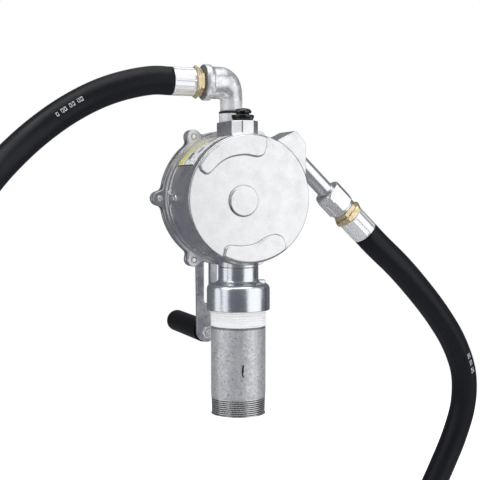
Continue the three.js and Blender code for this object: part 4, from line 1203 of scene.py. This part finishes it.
# ---- pieces ------------------------------------------------------------------


def keep(piece, slot, body, *nodes, look=None):
    """Gives a piece its material and its body, and hides the CAD nodes that it stands for."""
    piece.data.materials.append(look or LOOKS[slot])
    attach(piece, body)
    if nodes:
        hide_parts(*nodes)
    return piece


def make_head():
    across = stations((-90, 92, 1.0))
    along = stations((-39, -26, 0.65), (-26, 2, 1.9), (2, 35, 0.85), (35, 42, 0.75))
    up = stations((147, 324, 1.0))
    body = surface("body_casting", body_field, across, along, up)
    points = np.array([v.co for v in body.data.vertices]) / MM
    save_attribute(body, "relief", corner_distance(*points.T))
    keep(body, "cast_aluminium", "pump", "pump_body")

    along = stations((39.5, 60, 0.75))
    cover = surface("cover_casting", cover_field, across, along, stations((147, 326, 1.0)))
    keep(cover, "cast_aluminium", "pump", "rear_cover")

    for i in range(6):
        angle = math.radians(60 * i)
        place = at(EAR_PITCH_R * math.cos(angle), 0, AXIS_Z + EAR_PITCH_R * math.sin(angle))

        def screw_field(x, y, z):
            shank = smax(np.hypot(x, z) - SCREW_R - 0.1, np.abs(y - 40.4) - 7.6, 1.2)
            return np.minimum(shank, hex_prism(x, z, y, 6, COVER_BACK + GAP, COVER_BACK + 5, 0.8))

        side = stations((-7, 7, 0.5))
        screw = surface(f"screw_{i + 1}", screw_field, side, stations((32, 54.5, 0.5)), side, place)
        keep(screw, "zinc_steel", "pump", f"cover_screw_{i + 1}", look=CRIMPED)

    side = stations((-17, 17, 0.55))
    gland = nut_field(15, GLAND_Y + GAP, GLAND_Y + 6.5, SHAFT_R + 0.5, 1.2, 0.35, 0.4)
    piece = surface("gland_hexagon", gland, side, stations((57.5, 66, 0.4)), side, SHAFT)
    keep(piece, "brass", "pump", "gland_nut")
    make_label()


def make_label():
    """The film on the barrel: a thin bent sheet that carries its own two coordinates."""
    degrees = np.linspace(LABEL_TO, LABEL_FROM, 56)
    along = np.linspace(LABEL_FRONT, LABEL_BACK, 40)
    turn, y = np.meshgrid(np.radians(degrees), along, indexing="ij")
    sheets = []
    for radius in (HEAD_R + 0.55, HEAD_R + 0.3):
        sheets.append(np.stack([radius * np.cos(turn), y, AXIS_Z + radius * np.sin(turn)], 2))
    points = np.concatenate([s.reshape(-1, 3) for s in sheets])
    rows, columns = turn.shape
    index = np.arange(rows * columns).reshape(rows, columns)
    under = index + rows * columns
    top = np.stack([index[:-1, :-1], index[:-1, 1:], index[1:, 1:], index[1:, :-1]], 2)
    base = np.stack([under[:-1, :-1], under[1:, :-1], under[1:, 1:], under[:-1, 1:]], 2)
    rim = np.concatenate([index[0, :-1], index[:-1, -1], index[-1, :0:-1], index[:0:-1, 0]])
    next_rim = np.roll(rim, -1)
    wall = np.stack([rim, rim + rows * columns, next_rim + rows * columns, next_rim], 1)
    quads = np.concatenate([top.reshape(-1, 4), base.reshape(-1, 4), wall])
    label = mesh_object("label_sheet", points, quads)
    label.data.shade_flat()
    save_attribute(label, "across", points[:, 1])
    down = np.tile((math.radians(LABEL_TO) - turn).ravel() * (HEAD_R + 0.5), 2)
    save_attribute(label, "down", down)
    keep(label, "label_film", "pump", "instruction_label")


def make_crank():
    across = stations((-15, 15, 0.75))
    along = stations((ARM_Y - 1, ARM_Y + ARM_T + 1, 0.5))
    arm = surface("arm_plate", arm_field, across, along, stations((-169, 15, 0.75)), SHAFT)
    keep(arm, "zinc_steel", "crank", "crank_arm")
    side = stations((-9, 9, 0.5))
    shaft = surface("shaft_stud", shaft_field, side, stations((-33, ARM_Y + 16, 0.5)), side, SHAFT)
    keep(shaft, "steel", "crank", "drive_shaft")

    arm_back = ARM_Y + ARM_T
    side = stations((-10.5, 10.5, 0.45))
    crank_nut = nut_field(CRANK_NUT_R, arm_back + GAP, arm_back + 7.5, STUD_R + GAP)
    span = stations((arm_back - 0.5, arm_back + 8.5, 0.45))
    piece = surface("shaft_nut", crank_nut, side, span, side, SHAFT)
    keep(piece, "zinc_steel", "crank", "crank_nut")
    side = stations((-8.5, 8.5, 0.4))
    small_nut = nut_field(GRIP_NUT_R, ARM_Y - 7, ARM_Y - GAP, GRIP_BOLT_R + GAP)
    span = stations((ARM_Y - 8, ARM_Y + 0.5, 0.4))
    piece = surface("bolt_nut", small_nut, side, span, side, GRIP)
    keep(piece, "zinc_steel", "crank", "grip_nut", look=CRIMPED)

    bolt_end = GRIP_END - 14
    bolt = [
        (0, ARM_Y - 9), (GRIP_BOLT_R, ARM_Y - 9), (GRIP_BOLT_R, ARM_Y + ARM_T + GAP),
        (GRIP_WASHER_R, ARM_Y + ARM_T + GAP), (GRIP_WASHER_R, GRIP_START - GAP),
        (GRIP_BOLT_R, GRIP_START - GAP),
        (GRIP_BOLT_R, bolt_end), (0, bolt_end),
    ]
    piece = lathe("bolt_and_washer", bolt, GRIP @ ALONG_Y, 64, 0.6, closed=False)
    keep(piece, "zinc_steel", "crank", "grip_bolt", look=CRIMPED)
    bore = GRIP_BOLT_R + 0.4
    grip = [(bore, GRIP_START, 0.3), (GRIP_R, GRIP_START, 1.6)]
    for station in np.linspace(GRIP_START + 6, GRIP_END - 12, 8):
        waist = 0.12 * math.sin((station - GRIP_START) / GRIP_LENGTH * math.pi)
        grip.append((GRIP_R - waist, station))
    for t in np.radians(np.arange(0, 90, 7.5)):
        radius = GRIP_R - GRIP_DOME + GRIP_DOME * math.cos(t)
        grip.append((radius, GRIP_END - GRIP_DOME + GRIP_DOME * math.sin(t)))
    grip += [(0.01, GRIP_END), (0.01, GRIP_END - 12), (bore, GRIP_END - 12)]
    piece = lathe("grip_sleeve", grip, GRIP @ ALONG_Y, 96, 0.3)
    keep(piece, "black_grip", "grip", "handle_grip")


def make_inlet():
    round_edge, fillet = 6.5, 4.5
    collar = [(PIPE_R + 0.6, COLLAR_LOW, 0.5), (COLLAR_R, COLLAR_LOW, 0.9)]
    for t in np.radians(np.arange(0, 91, 7.5)):
        collar.append(
            (
                COLLAR_R - round_edge * (1 - math.cos(t)),
                SHOULDER - round_edge * (1 - math.sin(t)),
                0.1,
            )
        )
    for t in np.radians(np.arange(0, 91, 10)):
        collar.append(
            (NECK_R + fillet * (1 - math.sin(t)), SHOULDER + 0.5 + fillet * (1 - math.cos(t)), 0.1)
        )
    collar += [
        (NECK_R, NECK_TOP, 0.5), (INLET_R, NECK_TOP, 0.3), (INLET_R, VALVE_ROOF, 0.3),
        (VALVE_R, VALVE_ROOF, 0.3), (VALVE_R, VALVE_SEAT, 0.3), (SEAT_R, VALVE_SEAT, 0.3),
        (SEAT_R, PIPE_SEAT, 0.3), (PIPE_R + 0.6, PIPE_SEAT, 0.3),
    ]
    piece = lathe("collar_turning", collar, ROW, 128)
    keep(piece, "polished_aluminium", "pump", "inlet_collar")

    def lug_field(x, y, z):
        """A small block cast on the collar's shoulder."""
        block = smax(np.abs(x - 24.6) - 5, np.abs(y + 5) - 3.4, 2.2)
        return smax(block, np.abs(z - SHOULDER + 0.3) - 3.6, 2.0)

    across, along = stations((18, 31, 0.5)), stations((-10, 0, 0.5))
    up = stations((SHOULDER - 5, SHOULDER + 5, 0.5))
    lug = surface("collar_lug", lug_field, across, along, up)
    keep(lug, "polished_aluminium", "pump")

    def thread(turn, z):
        """How far the cut thread lies inside the pipe's own radius."""
        phase = (z / THREAD_PITCH - turn / (2 * math.pi)) % 1
        tooth = np.minimum(1, 1.7 * (1 - np.abs(2 * phase - 1)))  # with a flat crest
        fade = np.clip((THREAD_TOP - 0.6 - z) / 4, 0, 1)
        return -fade * (THREAD_DEPTH * (1 - tooth) + THREAD_ROOT - z * TAPER)

    pipe = [(PIPE_BORE_R, 0, 0.5)]
    pipe += [(PIPE_R, z, 0.01) for z in np.arange(0, THREAD_TOP + 1, 0.2)]
    pipe += [(PIPE_R, z, 0.01) for z in np.arange(THREAD_TOP + 5, TAPE_LOW - 1, 6)]
    pipe += [
        (PIPE_R, TAPE_LOW - 1, 0.3), (PIPE_R - 0.6, TAPE_LOW, 0.3),
        (PIPE_R - 0.6, PIPE_TOP, 0.5), (PIPE_BORE_R, PIPE_TOP, 0.5),
    ]
    piece = lathe("pipe_with_thread", pipe, ROW, 144, wobble=thread)
    points = np.array([v.co for v in piece.data.vertices]) / MM
    crests = PIPE_R - THREAD_ROOT + points[:, 2] * TAPER
    save_attribute(piece, "depth", crests - np.hypot(points[:, 0], points[:, 1]))
    keep(piece, "galvanised_pipe", "pump", "bung_pipe")

    def wrapped(turn, z):
        """Turns of tape over each other, a little uneven."""
        lay = z + 0.5 * np.sin(turn) + 0.8 * turn / math.pi
        steps = 0.16 * (np.sin(lay * 2.3) + 0.6 * np.sin(lay * 5.1 + 1.0))
        return steps - 0.2 + 0.08 * np.sin(3 * turn + 0.4 * z)

    low, high = TAPE_LOW + GAP, COLLAR_LOW - GAP
    tape = [(PIPE_R - 0.3, low, 0.1)]
    tape += [(PIPE_R + 0.4, z, 0.01) for z in np.linspace(low, high, 70)]
    tape += [(PIPE_R - 0.3, high, 0.1)]
    piece = lathe("tape_wrapping", tape, ROW, 144, wobble=wrapped)
    keep(piece, "ptfe_tape", "pump", "thread_tape")


def make_outlet():
    cap = [
        (2.6, -20, 0.3), (4.6, -20, 0.4), (4.6, GAP, 0.3), (9.5, GAP, 0.4), (11.3, 1.4, 0.8),
        (12.4, 4.2, 1.0), (12.2, 6.2, 0.8), (7, 7.0, 0.5), (7, 7.8, 0.5), (9.3, 8.4, 0.6),
        (9.6, 10.4, 1.2), (7.6, 12.6, 2.0), (3.5, 13.6, 2.0), (0.01, 13.8, 0.01), (0.01, 3, 0.01),
        (2.6, 3, 0.3),
    ]
    piece = lathe("breaker_cap", cap, at(0, BREAKER_Y, BOSS_TOP), 96)
    keep(piece, "black_plastic", "pump", "vacuum_breaker_cap")

    spigot = [
        (SPIGOT_BORE_R, BOSS_TOP - 14), (SPIGOT_SHANK_R, BOSS_TOP - 14),
        (SPIGOT_SHANK_R, BOSS_TOP + GAP), (SPIGOT_R, BOSS_TOP + GAP, 0.5),
        (SPIGOT_R, SPIGOT_TOP, 0.7), (SPIGOT_BORE_R, SPIGOT_TOP),
    ]
    piece = lathe("spigot_turning", spigot, at(0, OUTLET_Y, 0), 96)
    # The spigot takes the painted bright copy of the metal, lifting it out of the shade behind the
    # cap.
    keep(piece, "polished_aluminium", "pump", "outlet_spigot", look=PAINTED_BRIGHT_METAL)
    low, high = SPIGOT_TOP + GAP, ELBOW_LOW - GAP
    seal_r = SPIGOT_R + 0.2
    seal = [(SPIGOT_BORE_R, low), (seal_r, low), (seal_r, high), (SPIGOT_BORE_R, high)]
    piece = lathe("seal_washer", seal, at(0, OUTLET_Y, 0), 96, 0.7)
    keep(piece, "seal_rubber", "pump", "outlet_seal_ring")
    make_elbow()

    side = stations((-19.5, 19.5, 0.55))
    length = stations((ARM_HEX_START - 6, ARM_FERRULE + 5, 0.45))
    tail = hose_tail(ARM_HEX_START, ARM_FLANGE_START, ARM_FERRULE - GAP)
    piece = surface("elbow_hose_tail", tail, side, side, length, ARM_LINE)
    keep(piece, "brass", "pump", "elbow_hose_fitting")
    make_ferrule("elbow_sleeve", ARM_FERRULE, FERRULE_END, ARM_LINE, "pump", "elbow_ferrule")


def make_ferrule(name, low, high, matrix, body, node):
    """A sleeve with long flats pressed in and narrow ridges left between them."""

    def crimp(turn, s):
        phase = np.abs(((turn * CRIMPS / (2 * math.pi)) % 1) - 0.5) * 2  # 1 on a ridge
        ends = np.clip((s - low) / 2.5, 0, 1) * np.clip((high - s) / 2.0, 0, 1)
        flat = 0.38 * np.clip((0.8 - phase) / 0.2, 0, 1) + 0.08 * (1 - phase)
        return -0.2 - ends * flat

    rows = np.concatenate([np.linspace(low + 0.6, low + 3, 8), np.linspace(low + 5, high - 3, 6)])
    rows = np.concatenate([rows, np.linspace(high - 2.2, high - 0.6, 7)])
    profile = [(FERRULE_BORE_R, low, 0.3), (FERRULE_R - 0.5, low, 0.3)]
    profile += [(FERRULE_R, s, 0.01) for s in rows]
    profile += [(FERRULE_R - 0.5, high, 0.3), (FERRULE_BORE_R, high, 0.3)]
    piece = lathe(name, profile, matrix, 192, wobble=crimp)
    keep(piece, "polished_aluminium", body, node, look=CRIMPED)


def make_elbow():
    """A street elbow: a wide arm along -X with a beaded end, turning down into a narrower leg."""
    inset, drop = 1.6, 1.2  # from the bend's inner corner to the leg and to the arm
    corner = np.array([-ELBOW_LEG_R - inset, OUTLET_Y, ELBOW_Z - ELBOW_ARM_R - drop])
    rings = []
    for z in np.linspace(ELBOW_LOW, corner[2], 6, endpoint=False):
        rings.append(((0, OUTLET_Y, z), (1, 0, 0), ELBOW_LEG_R))
    for t in np.linspace(0, 1, 33):
        turn = math.pi / 2 * t
        width = ELBOW_LEG_R + (ELBOW_ARM_R - ELBOW_LEG_R) * math.sin(turn) ** 2
        inner = inset + (drop - inset) * t
        radial = np.array([math.cos(turn), 0, math.sin(turn)])
        rings.append((corner + radial * (inner + width), radial, width))
    bead = [
        (18, 0), (21, 0), (24, 0), (24.8, 0.3), (25.6, 1.3), (26.6, 2.0), (28.4, 2.25),
        (31, 2.25), (32.8, 2.1), (33.9, 1.3), (34.4, 0.3), (34.6, -0.9),
    ]  # distance from the leg's axis, and rise above the arm
    for station, rise in bead:
        rings.append(((-station, OUTLET_Y, ELBOW_Z), (0, 0, 1), ELBOW_ARM_R + rise))
    turns = 2 * math.pi * np.arange(ELBOW_SIDES) / ELBOW_SIDES
    points = []
    for centre, axis, radius in rings:
        spokes = np.outer(np.cos(turns) * radius, axis)
        spokes += np.outer(np.sin(turns) * radius, (0, 1, 0))
        points.append(np.array(centre) + spokes)
    piece = ring_tube("elbow_casting", np.array(points), reverse=True)
    keep(piece, "galvanised_iron", "pump", "elbow")


def make_nozzle():
    seated = NOZZLE_BODY + SPOUT_SEATED
    spout = [
        (SPOUT_BORE_R, SPOUT_TIP, 0.3), (SPOUT_R, SPOUT_TIP, 0.9),
        (SPOUT_R, seated, 0.3), (SPOUT_BORE_R, seated, 0.3),
    ]
    piece = lathe("spout_tube", spout, NOZZLE_LINE, 128)
    keep(piece, "polished_aluminium", "nozzle", "nozzle_spout", look=CHROMED)
    side = stations((-18.5, 18.5, 0.5))
    length = stations((NOZZLE_BODY - 1, BODY_END + 1, 0.5))
    piece = surface("nozzle_hexagon", nozzle_body_field, side, side, length, NOZZLE_LINE)
    keep(piece, "polished_aluminium", "nozzle", "nozzle_body", look=CHROMED)
    side = stations((-19.5, 19.5, 0.55))
    length = stations((BODY_END - 6, NOZZLE_FERRULE + 5, 0.45))
    tail = hose_tail(BODY_END + GAP, NOZZLE_FLANGE, NOZZLE_FERRULE - GAP)
    piece = surface("nozzle_hose_tail", tail, side, side, length, NOZZLE_LINE)
    keep(piece, "brass", "nozzle", "nozzle_hose_fitting")
    make_ferrule(
        "nozzle_sleeve", NOZZLE_FERRULE, NOZZLE_FERRULE_END, NOZZLE_LINE, "nozzle", "nozzle_ferrule"
    )


def dress_cad_nodes():
    """The hidden working parts keep their CAD shape and get the finish of their slot."""
    plain = {
        "steel": ["rotor", "inlet_strainer"],
        "graphite": ["vane_1", "vane_2", "vane_3", "vane_4"],
        "brass": ["front_bush", "rear_bush", "vacuum_breaker_poppet"],
        "seal_rubber": ["shaft_seal", "check_valve_disc"],
        "gasket_paper": ["cover_gasket"],
    }
    for slot, nodes in plain.items():
        for node in nodes:
            part = bpy.data.objects[node]
            for material_slot in part.material_slots:
                material_slot.material = LOOKS[slot]


# ---- light -------------------------------------------------------------------


def softbox(name, azimuth, height, distance, width, tall, radiance, tint=(1, 1, 1)):
    """An area light that faces the pump, seen in reflections but not by the camera."""
    light = bpy.data.lights.new(name, "AREA")
    light.shape = "RECTANGLE"
    light.size, light.size_y = width, tall
    light.energy = radiance * math.pi * width * tall
    light.color = tint
    lamp = bpy.data.objects.new(name, light)
    bpy.context.scene.collection.objects.link(lamp)
    angle = math.radians(azimuth)
    lamp.location = (distance * math.sin(angle), -distance * math.cos(angle), height)
    aim = Vector((0, 0, AIM_HEIGHT)) - lamp.location
    lamp.rotation_euler = aim.to_track_quat("-Z", "Y").to_euler()
    lamp.visible_camera = False


AIM_HEIGHT = 0.203
softbox("right_front", 40, 0.45, 1.6, 1.85, 2.2, 1.10)
softbox("left", -87, 0.4, 1.6, 1.7, 2.0, 0.95)
softbox("overhead", 10, 2.0, 0.3, 1.8, 1.8, 1.8)
softbox("upper_left", -75, 1.5, 1.0, 0.9, 0.9, 2.4)
softbox("bounce", 60, -0.3, 0.15, 0.9, 0.7, 0.18, tint=(1, 0.985, 0.96))
softbox("back", 170, 1.9, 1.3, 1.0, 1.0, 0.5)

FLOOR_HEIGHT = -0.385  # clear of the hose, with the nozzle pulled right out too
FLOOR_RADIUS = 2.0
ROOM = (0.150, 0.155, 0.178, 1)  # what the metal mirrors beyond the softboxes


def make_room():
    world = bpy.data.worlds.new("studio")
    bpy.context.scene.world = world
    world.use_nodes = True
    tree = world.node_tree
    background = tree.nodes["Background"]
    path = tree.nodes.new("ShaderNodeLightPath")
    mix = tree.nodes.new("ShaderNodeMix")
    mix.data_type = "RGBA"
    mix.inputs["A"].default_value = ROOM
    mix.inputs["B"].default_value = (1, 1, 1, 1)
    tree.links.new(path.outputs["Is Camera Ray"], mix.inputs["Factor"])
    tree.links.new(mix.outputs["Result"], background.inputs["Color"])

    bpy.ops.mesh.primitive_circle_add(
        vertices=96, radius=FLOOR_RADIUS, fill_type="NGON", location=(0, 0, FLOOR_HEIGHT)
    )
    floor = bpy.context.object
    floor.name = "floor"
    white = bpy.data.materials.new("studio_floor")
    white.use_nodes = True
    shader = white.node_tree.nodes["Principled BSDF"]
    shader.inputs["Base Color"].default_value = (0.86, 0.86, 0.86, 1)
    shader.inputs["Roughness"].default_value = 0.9
    shader.inputs["Emission Color"].default_value = (1, 1, 1, 1)
    shader.inputs["Emission Strength"].default_value = 1.0
    floor.data.materials.append(white)
    floor.visible_glossy = False  # the metal mirrors a dark room below it


make_room()
bpy.context.scene.view_settings.view_transform = "Standard"

make_hose()
make_head()
make_crank()
make_inlet()
make_outlet()
make_nozzle()
dress_cad_nodes()
